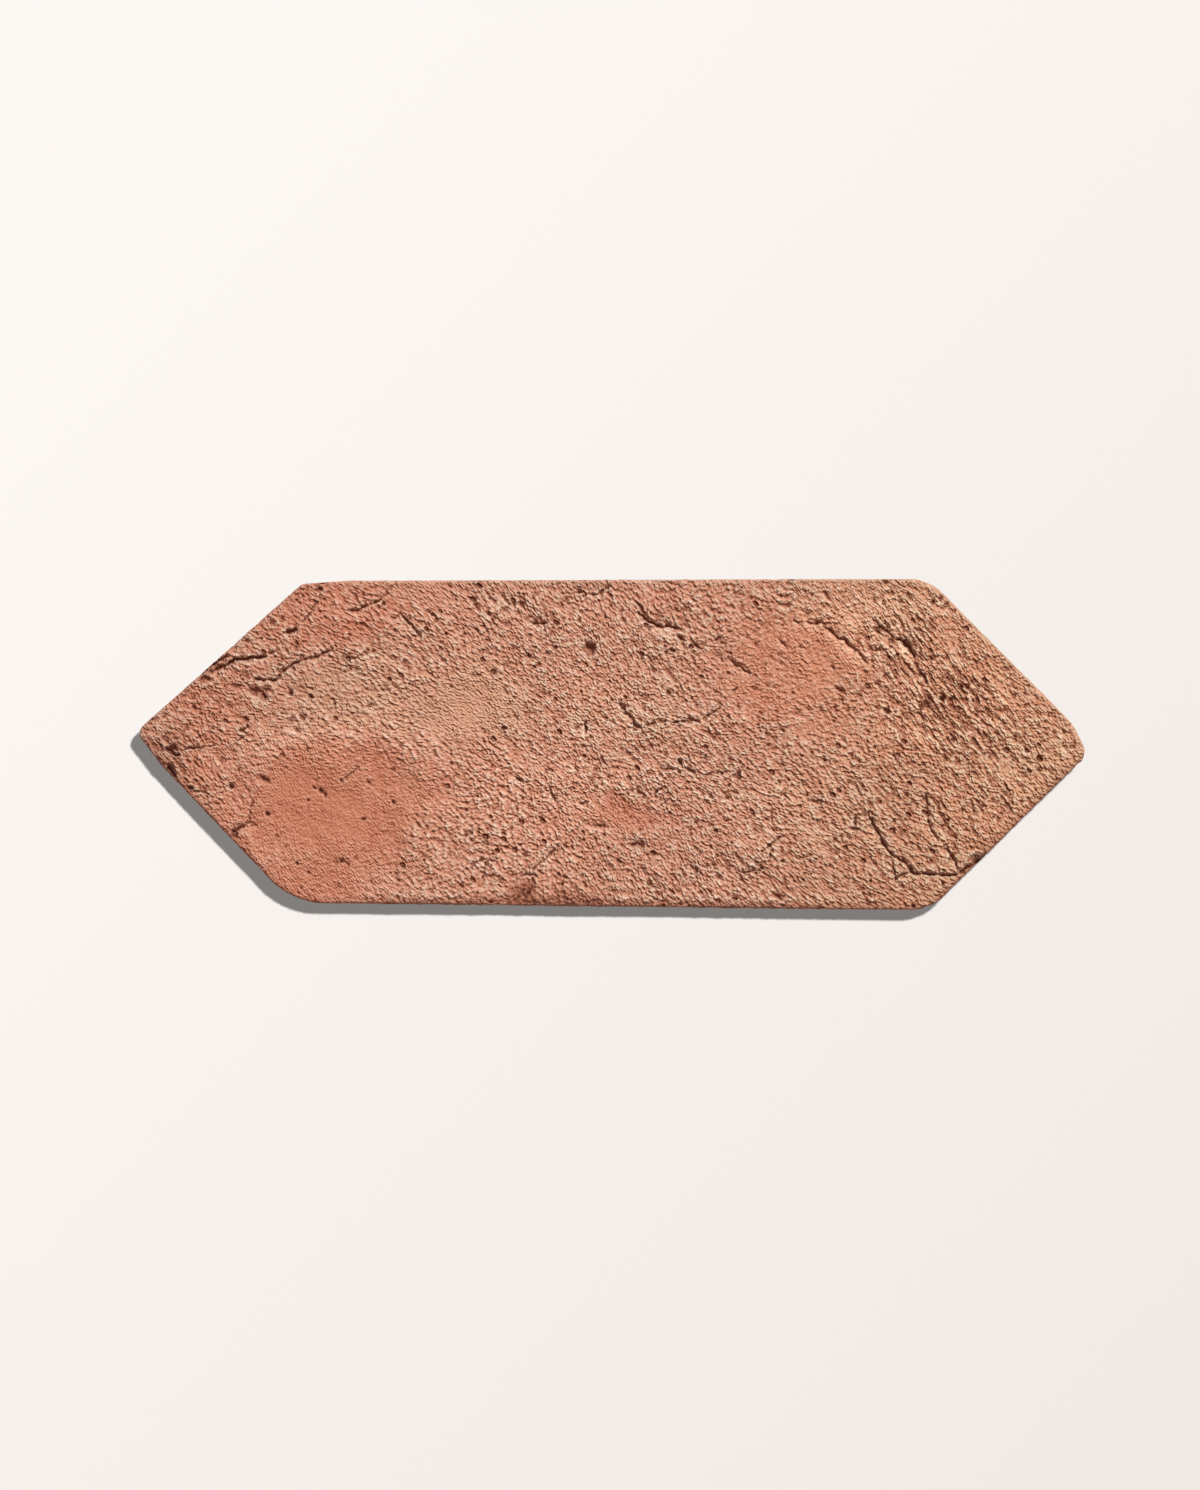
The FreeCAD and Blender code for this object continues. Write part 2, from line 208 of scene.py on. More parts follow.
def close_underside():
    select("FACE", lambda face: face.normal.z < FACING_DOWN and face.calc_center_median().z < 2 * HAIR)
    bpy.ops.mesh.delete(type="FACE")
    select("FACE", lambda face: face.calc_center_median().z < SIDE_TOP)
    bpy.ops.mesh.decimate(ratio=SIDE_SHARE)
    select("EDGE", lambda edge: edge.is_boundary)
    bpy.ops.mesh.edge_face_add()


apply_modifier(tile, "REMESH", mode="VOXEL", voxel_size=SKIN_STEP, use_smooth_shade=True)
edit(close_underside)
print("skin:", len(tile.data.polygons), "faces")

# %% [markdown]
# ## Where the cracks run
# Clay shrinks as it dries, and it tears where it was folded or pressed thin. Each crack is a short line of
# points read off the photograph, in millimetres from the middle of the tile, after half its width and its
# depth. A crack that tears open again after a bridge of clay is a new line. The lists go along the tile from
# its left end.

# %% Cracks at the left
CRACKS_LEFT = [
    (0.60, 1.8, [(-129.4, 21.4), (-128, 22.6), (-126.4, 23.4), (-124.4, 25.2), (-122, 27.2), (-120.6, 28.4)]),
    (0.60, 1.8, [(-126, 22.6), (-125, 22.6), (-123, 23.8), (-121, 25)]),
    (0.50, 2.0, [(-122, 24.2), (-119.6, 25.5), (-118, 26.3), (-116, 26.9), (-113, 27.1), (-110.5, 27.2),
                 (-108, 27.6)]),
    (0.30, 0.7, [(-108, 27.8), (-106.5, 28.5), (-104.5, 29.3)]),
    (0.25, 0.7, [(-113.4, 23.8), (-112.8, 22), (-112.2, 20.5)]),
    (0.44, 1.4, [(-112.6, 20.2), (-110.5, 20.3), (-108.6, 20.1), (-107, 20.3), (-105.9, 19.7), (-105, 20.3),
                 (-103.5, 22.3), (-101.5, 24), (-99.5, 25.3), (-96.5, 26.6)]),
    (0.40, 1.1, [(-96.5, 26.6), (-93, 27.2), (-90.5, 28.6), (-87.2, 29.9)]),
    (0.32, 0.6, [(-85, 27.8), (-80, 26.8), (-77.5, 28.5), (-75, 29.2), (-72.5, 28.7), (-70.5, 27.6),
                 (-68.5, 26.4), (-66.5, 26)]),
    (0.38, 0.9, [(-97.4, 37.6), (-96, 39.4), (-94.4, 41.2), (-93, 43.5), (-92, 45.2)]),
    (0.60, 1.1, [(-102.2, 35), (-100.4, 35.4), (-98.6, 36.4)]),
    (0.35, 0.9, [(-93, 48.1), (-91.8, 48.6), (-90.4, 48.3)]),
    (0.45, 1.2, [(-92.4, 50.4), (-90.6, 50.6), (-88.6, 50.9)]),
    (0.45, 1.1, [(-118.4, -28), (-116.8, -26.4), (-114.6, -25.2), (-113, -24.3)]),
    (0.45, 1.1, [(-82.4, 42), (-80.4, 41.7), (-78.2, 42.6), (-76, 43.4)]),
    (0.38, 1.0, [(-76.4, 43.2), (-74, 44.6), (-71.8, 46.2), (-69.6, 47.5)]),
    (0.28, 0.6, [(-70, 48.6), (-69, 49.2), (-67.2, 50)]),
    (0.35, 0.8, [(-69.3, 39.3), (-67.2, 39.9), (-66, 40.7)]),
    (0.50, 1.2, [(-66.6, 40.9), (-65.6, 39.9), (-64.1, 38.2), (-62.6, 37.2), (-61.4, 35.4)]),
    (0.35, 0.7, [(-61.6, 35.8), (-60.7, 34.4), (-60.1, 33.2)]),
    (0.30, 0.6, [(-61, 37.8), (-59.3, 38.2), (-57.3, 37.7)]),
    (0.45, 0.9, [(-58, 42.2), (-56.8, 41.2), (-55.5, 40), (-54.2, 38.9)]),
    (0.60, 1.6, [(-139.7, -0.9), (-138.4, -1.7), (-137.2, -2.8), (-136.2, -3.3), (-135.2, -2.9)]),
    (0.35, 0.8, [(-135, -2), (-133.6, -1.4), (-131, -1), (-128.8, -0.9), (-126.5, -0.5), (-124, 0)]),
    (0.60, 2.4, [(-139, -6.4), (-137.9, -7.8), (-136.9, -9.2), (-135.8, -10.9)]),
    (0.35, 0.9, [(-145.3, 6.4), (-144.3, 7.3), (-143.2, 8.2)]),
    (0.30, 0.8, [(-118.3, 0.1), (-117, 1.1), (-116, 1.5), (-114.2, 3)]),
    (0.30, 0.7, [(-116.5, 4.1), (-115.2, 4.9), (-113.6, 6.1)]),
    (0.35, 0.6, [(-131.5, -14.5), (-126, -15.5)]),
    (0.35, 0.9, [(-112.8, -16.5), (-112.8, -20), (-113.5, -24), (-111, -26)]),
    (0.30, 0.8, [(-84.3, -11.3), (-82.8, -10.2), (-79, -6.8)]),
    (0.30, 0.5, [(-87.5, -36.8), (-84, -37), (-82, -37.9)]),
]
print(len(CRACKS_LEFT), "cracks at the left")

# %% Cracks in the middle
CRACKS_MIDDLE = [
    (0.60, 1.1, [(-12.4, 47), (-11.4, 47.4), (-9.6, 47.7), (-8, 47.2)]),
    (0.38, 0.9, [(-8.4, 47.2), (-6.8, 46.7), (-4.6, 46.7), (-3.2, 47.9), (-1.6, 48.7), (-0.2, 50.2)]),
    (0.45, 1.1, [(-25.8, 38.3), (-24.6, 37.9), (-23.2, 38), (-20.4, 38)]),
    (0.50, 1.2, [(-26.6, 29.2), (-26.2, 28.4), (-25.6, 27.6), (-25.2, 26)]),
    (0.42, 1.1, [(-7.7, 7.8), (-8, 6.2), (-8.2, 5), (-8.6, 3.4)]),
    (0.50, 0.8, [(-10.3, -18.4), (-7.3, -18.2)]),
    (0.34, 1.0, [(-30.4, -9.8), (-29.2, -10.8), (-27.6, -12.2)]),
    (0.34, 1.0, [(-19.8, -13.1), (-18.8, -15), (-17.9, -17), (-17.2, -18.4)]),
    (0.35, 1.0, [(-17.2, -32), (-20.5, -35.5), (-22.5, -37.2), (-25.2, -38.8)]),
    (0.40, 1.3, [(-29.5, -41), (-24.3, -40.7)]),
    (0.45, 1.5, [(-24.8, -42), (-25.2, -44), (-26.5, -47), (-28, -50)]),
    (0.50, 1.3, [(-27, -45), (-29.5, -48), (-30, -50)]),
    (0.38, 0.9, [(-44.2, -37.6), (-42.4, -36.6), (-41, -36), (-39.4, -35.6)]),
    (0.40, 1.0, [(-40.4, -35.4), (-39.4, -36.8), (-39.8, -38.6), (-39.9, -40.2), (-40.6, -41.8)]),
    (0.30, 0.7, [(-39.2, -36.8), (-38.2, -36.2), (-37, -36.6)]),
    (0.50, 0.5, [(-9, -24.5), (-6.5, -25.2), (-1, -26)]),
    (0.45, 1.2, [(7.3, 45.3), (8, 44.2), (8.6, 43.6), (9.4, 42.6), (9.6, 41.8), (10.8, 41)]),
    (0.50, 1.3, [(7.8, 41.9), (9.2, 40.4), (10.4, 39.6), (11.6, 38.4), (13, 38), (14.4, 37.2), (16.4, 37),
                 (18.6, 36.9), (20.2, 36.4), (21.6, 35.7)]),
    (0.42, 1.0, [(20.4, 34.2), (21.4, 33.3), (23, 32.5)]),
    (0.40, 1.0, [(25, 32.2), (26.5, 31.2), (28, 29.5)]),
    (0.30, 0.7, [(24, 30), (25.5, 28.5), (27, 27.6)]),
    (0.50, 1.3, [(2.7, 13.6), (3.2, 11.9), (4.1, 10.2), (5.4, 8.9), (6.1, 7.8), (6.6, 6.5), (7.6, 5.7)]),
    (0.65, 1.5, [(6.2, 7.2), (6.8, 6.2), (7.8, 5.6), (9.2, 5.1)]),
    (0.32, 0.7, [(8.8, 3.6), (10.5, 3.9), (12.6, 4.5)]),
    (0.42, 1.0, [(10.2, 5.8), (11.8, 6), (13.5, 6.8), (15, 6.9), (17, 7.3)]),
    (0.40, 0.9, [(18.2, 6.4), (19.4, 6.8), (21, 6.8), (23.5, 7.2)]),
    (0.60, 1.1, [(24.2, 8), (27.5, 6.8)]),
    (0.38, 0.9, [(28.8, 8), (29.8, 9), (31.2, 9.8), (32.8, 10.4), (34.6, 12.2)]),
    (0.32, 0.8, [(12.8, -15.8), (15.5, -14.2), (18, -12.5)]),
    (0.30, 0.8, [(14, -19.9), (16.5, -18.2), (18.2, -17)]),
    (0.60, 0.9, [(7.2, -14), (10.5, -16)]),
    (0.30, 0.5, [(3.5, -14.6), (7, -14.2)]),
    (0.60, 1.3, [(20.5, -4.5), (22, -7)]),
    (0.40, 0.8, [(22.5, -7.5), (26, -8.5)]),
    (0.40, 0.6, [(13.5, -7.5), (20.5, -8)]),
    (0.40, 0.9, [(29.5, -10), (31.8, -8.2)]),
    (0.30, 0.6, [(32, -8.8), (36.5, -8.8)]),
    (0.45, 1.1, [(37.5, -9.8), (40.5, -8.9)]),
    (0.35, 0.7, [(29, -2.8), (29.2, -6)]),
    (0.32, 0.7, [(27.8, -38), (33, -37.5)]),
    (0.32, 0.8, [(38, -40.2), (41.5, -40.2), (47, -39.2)]),
    (0.30, 0.6, [(46.5, -37), (47, -38.8)]),
    (0.50, 0.7, [(5.5, -31.2), (11, -31.2)]),
]
print(len(CRACKS_MIDDLE), "cracks in the middle")

# %% Cracks at the right
CRACKS_RIGHT = [
    (0.36, 0.8, [(35.5, 27.2), (37.3, 26.1), (38.6, 24.7), (41.5, 22.9), (43.2, 21.8)]),
    (0.30, 0.6, [(44.2, 21.8), (45.8, 22)]),
    (0.32, 0.7, [(52, 33.2), (54, 31), (55.5, 29.7)]),
    (0.30, 0.6, [(36.8, 16.2), (38.2, 16.8), (40, 18)]),
    (0.35, 0.7, [(56.5, 39), (58, 38.2), (60, 37.5)]),
    (0.50, 1.0, [(60.5, 38.5), (63.5, 37.8), (65.8, 37.8)]),
    (0.42, 0.9, [(65.8, 37.8), (67.2, 36.3), (69, 35.5), (70.5, 33.5), (72.5, 32.5), (74, 30.8), (77, 29.2)]),
    (0.32, 0.7, [(77, 29.2), (78.6, 27.2), (80.5, 25.5)]),
    (0.30, 0.6, [(80.5, 29.5), (86, 29.5)]),
    (0.35, 0.8, [(81, 28.5), (81.5, 25.5)]),
    (0.50, 0.9, [(82.5, 38), (84.8, 36.2), (86.5, 35), (88.5, 33)]),
    (0.70, 2.2, [(88.8, 33.2), (90.3, 32.4), (92, 31), (93.5, 29), (94.8, 27)]),
    (0.35, 0.9, [(94.5, 27), (95.3, 25.3), (96.3, 23)]),
    (0.60, 1.3, [(96.4, 22.6), (97.3, 21.2), (98.6, 19.4)]),
    (0.60, 1.0, [(102.8, 14.9), (103.8, 13.6)]),
    (0.40, 0.7, [(81.5, 36.5), (86, 33)]),
    (0.32, 0.7, [(102, 42.2), (105.5, 43.8)]),
    (0.40, 0.8, [(82, 20), (84.2, 17.3)]),
    (0.35, 0.7, [(85.8, 22), (86.2, 19.5)]),
    (0.35, 0.7, [(52, -11), (53, -13.2)]),
    (0.40, 0.7, [(52.8, -15.5), (55.5, -16.8)]),
    (0.40, 0.8, [(56.2, -8), (56.8, -10)]),
    (0.40, 0.8, [(59, -11.5), (59.8, -13.5)]),
    (0.40, 0.7, [(61.5, -17.2), (65.5, -18)]),
    (0.30, 0.4, [(50, -20.5), (50, -23), (50.2, -25)]),
    (0.35, 0.9, [(47.8, -32.5), (50, -30.8), (54.2, -28.2)]),
    (0.35, 0.8, [(49.8, -32), (49.4, -34.5), (49, -36.8)]),
    (0.45, 1.5, [(108.5, -40.2), (105.2, -41), (102.5, -40.8), (96, -40.5), (93.5, -39.6), (92.3, -38),
                 (91.8, -36.8), (87.8, -35), (86, -33.2), (83.5, -28.5), (80.5, -22.5), (80.5, -21)]),
    (0.40, 1.2, [(93.5, -39.6), (91, -40.5), (89.5, -42.2), (88.5, -43.2)]),
    (0.35, 1.2, [(87.5, -36.5), (88.5, -39), (88.8, -41.5), (88.5, -43.2)]),
    (0.40, 1.2, [(108.2, -40), (107.2, -37.5), (106, -34.5), (104.5, -32.5), (103.2, -32)]),
    (0.42, 1.1, [(102, -30.2), (100.5, -27.5), (98.8, -23.8), (98.5, -20), (98.4, -15.5)]),
    (0.30, 0.8, [(103, -32.2), (105, -31)]),
    (0.90, 1.6, [(108.2, -40.2), (112.5, -38), (116.5, -34.5)]),
    (0.30, 0.7, [(112, -16.5), (112.5, -18.5), (113, -21.5), (114, -22.8)]),
    (0.40, 1.0, [(103.1, -42.5), (103.5, -44)]),
    (0.40, 0.9, [(76.2, -22), (76.5, -26)]),
]
CRACKS = CRACKS_LEFT + CRACKS_MIDDLE + CRACKS_RIGHT
print(len(CRACKS_RIGHT), "cracks at the right,", len(CRACKS), "in all")

# %% [markdown]
# ## Holes
# Where a small stone or a bit of straw fell or burnt out of the clay it left a hole. A hole is an oval, read
# the same way: x, y, half its length, half its width and, where it isn't the usual slant of the clay, its
# direction in degrees.

# %% Holes
HOLES = [
    (-125.4, 22.7, 0.9, 0.7), (-119, -13.1, 0.9, 0.7), (-107.6, -21.8, 0.8, 0.7),
    (-98.5, -37.2, 0.6, 0.5), (-95, -40, 0.5, 0.5), (-97.2, -44.7, 0.4, 0.4), (-98.2, -46.5, 0.6, 0.4),
    (-77.9, -23.4, 0.5, 0.6), (-91, -14.6, 0.9, 0.6), (-89.7, -15.7, 0.8, 0.5, 90),
    (-84.4, -11.4, 0.7, 0.5), (-68.3, -18.2, 0.5, 0.5), (-71.4, 44, 0.6, 0.5), (-73, 42.6, 0.5, 0.4),
    (-93.1, -13.6, 0.5, 0.4), (-95.2, -17.5, 0.4, 0.4), (-101, 35.3, 1.1, 0.7, 10),
    (-138.2, -7.3, 1.1, 0.8), (-131.8, -13.6, 0.8, 0.6), (-118, -28, 1.3, 0.9, -60),
    (-33.7, 5.1, 0.9, 0.6, 15), (-41.7, -44.3, 0.5, 0.3), (-37.3, -46.4, 0.4, 0.4),
    (-14.3, -48.3, 0.5, 0.5), (-38, -49.3, 0.7, 0.4, 0), (18.8, 29.5, 0.9, 0.6, -25),
    (17, 28.7, 0.6, 0.5), (11, -20.5, 0.6, 0.3), (12.5, -20.3, 0.4, 0.3), (22.8, -15.4, 0.4, 0.3),
    (14, -21.5, 0.5, 0.3), (17.8, -21.5, 0.5, 0.5), (11.8, -24.3, 0.4, 0.3), (8.7, -26.6, 0.4, 0.4),
    (53.2, -36.5, 0.6, 0.5), (31, -32.1, 0.7, 0.4), (21.5, -50, 0.5, 0.4), (86, 10.6, 1, 0.8),
    (76, -26.5, 1.3, 0.6, -10), (94.3, -50.6, 0.7, 0.5),
]
print(len(HOLES), "holes")

# %% [markdown]
# ## Finer skin along the cracks
# The faces of the skin are too large for a crack's sharp lips. Those that a crack crosses are divided
# once more, and only those, because the whole tile has to stay light enough to be used in other scenes.
# The distances from a line are worked out for all vertices at once, as NumPy arrays, which is far quicker
# than a loop over them.

# %% Divide along the cracks
BESIDE_CRACK = 0.45
FACE_BAND = 3.5


def places_of(piece):
    """The vertices of a piece, in millimetres, as an array of x, y and z."""
    flat = np.empty(3 * len(piece.data.vertices))
    piece.data.vertices.foreach_get("co", flat)
    return flat.reshape(-1, 3) / MM


def box_around(places, points, reach):
    """The numbers of the places that lie in the box around some points, widened by a reach."""
    low = np.min(points, axis=0) - reach
    high = np.max(points, axis=0) + reach
    return np.flatnonzero(np.all((places[:, :2] > low) & (places[:, :2] < high), axis=1))


def beside_line(places, line):
    """How far each place lies from a line, how far along it, on which side, and the line's length."""
    gap = np.full(len(places), np.inf)
    along = np.zeros(len(places))
    left_side = np.zeros(len(places), bool)
    walked = 0.0
    for start, end in zip(line, line[1:]):
        run = np.subtract(end, start)
        from_start = places - start
        share = np.clip(from_start @ run / (run @ run), 0, 1)
        away = np.linalg.norm(from_start - share[:, None] * run, axis=1)
        nearer = away < gap
        gap[nearer] = away[nearer]
        along[nearer] = walked + share[nearer] * np.linalg.norm(run)
        left_side[nearer] = (run[0] * from_start[:, 1] - run[1] * from_start[:, 0] > 0)[nearer]
        walked += np.linalg.norm(run)
    return gap, along, left_side, walked


def near_crack(piece):
    """Says for each vertex of a piece whether it is on the face and close to a crack or a hole."""
    places = places_of(piece)
    close = np.zeros(len(places), bool)
    for half_width, depth, line in CRACKS:
        near = box_around(places, line, half_width + BESIDE_CRACK)
        gap = beside_line(places[near, :2], line)[0]
        close[near] |= gap < half_width + BESIDE_CRACK
    for x, y, half_length, half_width, *turn in HOLES:
        close |= np.hypot(places[:, 0] - x, places[:, 1] - y) < half_length + BESIDE_CRACK
    return close & (places[:, 2] > FACE_HEIGHT / MM - FACE_BAND)


def divide_along_cracks():
    select("FACE", lambda face: len(face.verts) == 4 and any(close[vertex.index] for vertex in face.verts))
    bpy.ops.mesh.subdivide(number_cuts=1)


close = near_crack(tile)
edit(divide_along_cracks)
triangles = sum(len(face.vertices) - 2 for face in tile.data.polygons)
print("skin with cracks:", triangles, "triangles")

# %% [markdown]
# ## Zones of the face
# The clay isn't the same all over. Some patches were rubbed smooth, others crumbled as they dried, and the
# colour runs from brick red to sandy tan, with darker patches along the lower rim and darker and paler parts.
# A zone is an oval: x, y, half its length, half its width, and its strength.

# %% Smooth and crumbly patches
SMOOTH_PATCHES = [
    (-91.4, -22.1, 26.0, 17.0, 1.0),
    (-66.3, -14.5, 17.0, 9.5, 0.8),
    (-89.0, -40.0, 20.0, 10.0, 0.7),
    (-46.0, 13.0, 13.0, 10.0, 1.0),
    (52.6, 23.9, 22.0, 15.0, 0.6),
    (68.2, 7.0, 11.0, 6.0, 0.35),
    (5.3, -21.6, 10.5, 4.6, 0.8),
    (-57.0, 50.0, 14.0, 4.0, 0.5),
    (-85.0, 8.0, 30.0, 14.0, 0.2),
]
CRUMBLY_PATCHES = [
    (92.0, 31.0, 12.0, 13.0, 0.8),
    (107.0, 12.0, 17.0, 16.0, 1.0),
    (91.0, -34.0, 19.0, 12.0, 0.4),
    (112.0, -8.0, 32.0, 22.0, 0.45),
    (76.0, -18.0, 16.0, 14.0, 0.4),
    (20.0, -40.0, 50.0, 12.0, 0.3),
    (-36.0, 43.0, 16.0, 8.0, 0.4),
    (18.0, 33.0, 16.0, 10.0, 0.3),
    (-120.0, 20.0, 14.0, 10.0, 0.4),
    (-134.0, -4.0, 14.0, 9.0, 0.5),
]
print(len(SMOOTH_PATCHES), "smooth and", len(CRUMBLY_PATCHES), "crumbly patches")

# %% Zones of colour
RED_ZONES = [
    (-89.8, -22.1, 31.0, 19.0, 1.0),
    (-66.3, -9.5, 19.0, 9.0, 0.62),
    (-94.5, -42.4, 16.0, 9.0, 0.85),
    (-88.2, 41.5, 30.0, 10.5, 0.9),
    (-125.8, 17.1, 16.0, 13.5, 0.75),
    (-100.0, 23.0, 14.0, 11.0, 0.55),
    (102.0, 18.0, 12.0, 14.0, 0.3),
    (-133.6, -3.3, 17.0, 10.0, 0.7),
    (54.1, 21.7, 25.0, 16.0, 0.55),
    (13.5, 43.0, 9.4, 7.0, 0.55),
    (43.2, 39.0, 19.0, 8.0, 0.4),
    (5.6, -21.1, 11.0, 5.0, 0.7),
    (10.0, -30.0, 18.0, 7.0, 0.3),
    (-25.7, -44.0, 22.0, 6.5, 0.35),
]
SANDY_ZONES = [
    (133.9, -6.4, 19.0, 12.5, 0.7),
    (-102.3, 3.6, 12.5, 7.0, 0.5),
    (-78.0, 14.0, 30.0, 13.0, 0.65),
    (-44.0, 14.0, 16.0, 12.0, 1.0),
    (5.6, 13.9, 22.0, 19.0, 0.4),
    (82.0, 41.0, 18.0, 9.0, 0.6),
    (62.0, -22.0, 19.0, 11.0, 0.4),
]
# Patches along the lower rim that are painted darker.
DARKER_RIM_PATCHES = [
    (-28.0, -47.5, 4.5, 4.5, 1.0),
    (-37.0, -49.8, 10.0, 2.6, 0.8),
    (-13.0, -49.5, 13.0, 3.2, 0.8),
]
DARK_ZONES = [
    (80.0, -40.0, 34.0, 13.0, 0.75),
    (86.0, -17.0, 14.0, 10.0, 0.7),
    (-96.0, 18.0, 24.0, 12.0, 0.7),
    (118.0, -2.0, 12.0, 8.0, 0.2),
    (-70.0, 30.0, 16.0, 7.0, 0.4),
    (-142.0, 0.0, 9.0, 8.0, 1.6),
    (-60.0, 14.0, 9.0, 6.0, 0.5),
    (50.0, -2.0, 18.0, 8.0, 0.5),
    (14.0, -28.0, 18.0, 8.0, 0.5),
]
PALE_ZONES = [
    (-22.0, -17.0, 28.0, 17.0, 0.9),
    (-84.0, 0.0, 30.0, 6.0, 0.7),
    (-2.0, 12.0, 16.0, 10.0, 0.8),
    (74.0, 32.0, 20.0, 11.0, 1.1),
    (106.0, 14.0, 18.0, 13.0, 1.1),
    (120.0, -15.0, 9.0, 7.0, 0.6),
]
print(len(RED_ZONES), "red zones and", len(SANDY_ZONES), "sandy ones")

# %% [markdown]
# ## From zones to numbers
# Each vertex gets a number for how far it lies in a zone. Nothing in clay has a clean edge, so a vertex is
# asked about a place shaken by smooth noise, not about its own. The noise moves it twice, first by a broad
# and then by a narrow step: several millimetres for zones, and well under one for cracks. Blender starts
# this noise from the clock unless it is given a seed, and with one the tile is the same each time.

# %% Numbers for each vertex
SHAKE_SEED = 2
JAGGED_SHAKES = ((0.6, 3.5), (0.45, 1.2))
DRIFTING_SHAKES = ((6.0, 16.0), (2.0, 4.0))
RIM_PATCH_SHAKES = ((1.5, 4.0),)
USUAL_SOFTNESS = 0.6
SMOOTH_SOFTNESS = 0.55
RED_SOFTNESS = 0.5
RIM_PATCH_SOFTNESS = 0.4
PALE_LIFT = 0.09
DARK_FALL = 0.11


def shaken(places, shakes):
    """The same places, moved by smooth noise: once for each amount and step, in millimetres."""
    for amount, step in shakes:
        moved = [noise.noise_vector(Vector(place) / step) for place in places]
        places = places + amount * np.array(moved)
    return places


def zone(places, ovals, softness=USUAL_SOFTNESS):
    """How much each place lies in any of some ovals, with a soft step at their rims."""
    share = np.zeros(len(places))
    for x, y, half_length, half_width, most in ovals:
        reach = np.hypot((places[:, 0] - x) / half_length, (places[:, 1] - y) / half_width)
        step = np.clip((1 + softness - reach) / (2 * softness), 0, 1)
        share = np.maximum(share, most * step * step * (3 - 2 * step))
    return share


noise.seed_set(SHAKE_SEED)
places = places_of(tile)
jagged = shaken(places, JAGGED_SHAKES)
drifting = shaken(places, DRIFTING_SHAKES)
smooth = zone(drifting, SMOOTH_PATCHES, SMOOTH_SOFTNESS)
crumbly = zone(drifting, CRUMBLY_PATCHES)
red = zone(drifting, RED_ZONES, RED_SOFTNESS)
sandy = zone(drifting, SANDY_ZONES)
darker_rim_patches = zone(shaken(jagged, RIM_PATCH_SHAKES), DARKER_RIM_PATCHES, RIM_PATCH_SOFTNESS)
tone = 1 + PALE_LIFT * zone(drifting, PALE_ZONES) - DARK_FALL * zone(drifting, DARK_ZONES)
print("share of the skin that is smooth, crumbly, red, sandy:",
      [round(float(values.mean()), 2) for values in (smooth, crumbly, red, sandy)])

# %% [markdown]
# ## Coarse and fine clay
# Marks and cracks belong on the walking face and fade out just below its edge. The grain is fainter on the
# sides, and the foot stays clean so that the tile lies flat. How coarse the clay is follows from its zones
# and from slow noise. How far the skin faces up is noted now, before the carving, because that tells the
# rim and the sides from the face.

# %% Coarseness
RELIEF_DEPTH = 3.0
RELIEF_FADE = 2.0
FOOT_GAP = 0.3
FOOT_FADE = 1.0
SLOW_STEP = 8.0
SLOW_CHANGE = 0.5
CRUMBLY_COARSER = 0.75
RED_FINER = 0.15
SMOOTH_FINER = 0.58
LEAST_COARSE = 0.25
MOST_COARSE = 1.9


def normals_of(piece):
    """The directions that the skin faces at the vertices of a piece."""
    flat = np.empty(3 * len(piece.data.vertices))
    piece.data.vertices.foreach_get("normal", flat)
    return flat.reshape(-1, 3)


uprightness = normals_of(tile)[:, 2]
on_face = np.clip((places[:, 2] - FACE_HEIGHT / MM + RELIEF_DEPTH) / RELIEF_FADE, 0, 1)
off_floor = np.clip((places[:, 2] - FOOT_GAP) / FOOT_FADE, 0, 1)
slow = np.array([noise.noise(Vector(place) / SLOW_STEP) for place in places])
coarseness = 1 + CRUMBLY_COARSER * crumbly - RED_FINER * red - SMOOTH_FINER * smooth
coarseness = np.clip(coarseness * (1 + SLOW_CHANGE * slow), LEAST_COARSE, MOST_COARSE)
print("finest, usual and coarsest:", np.round(np.percentile(coarseness, [2, 50, 98]), 2))

# %% [markdown]
# ## Dents, hollows and grains
# The marks that catch the eye in the photograph are set one by one, written like the holes. Dents were
# pressed or torn out of the wet clay. Hollows are wide and shallow, and one air bubble burst. The last
# list is of grains and flakes that stand proud.

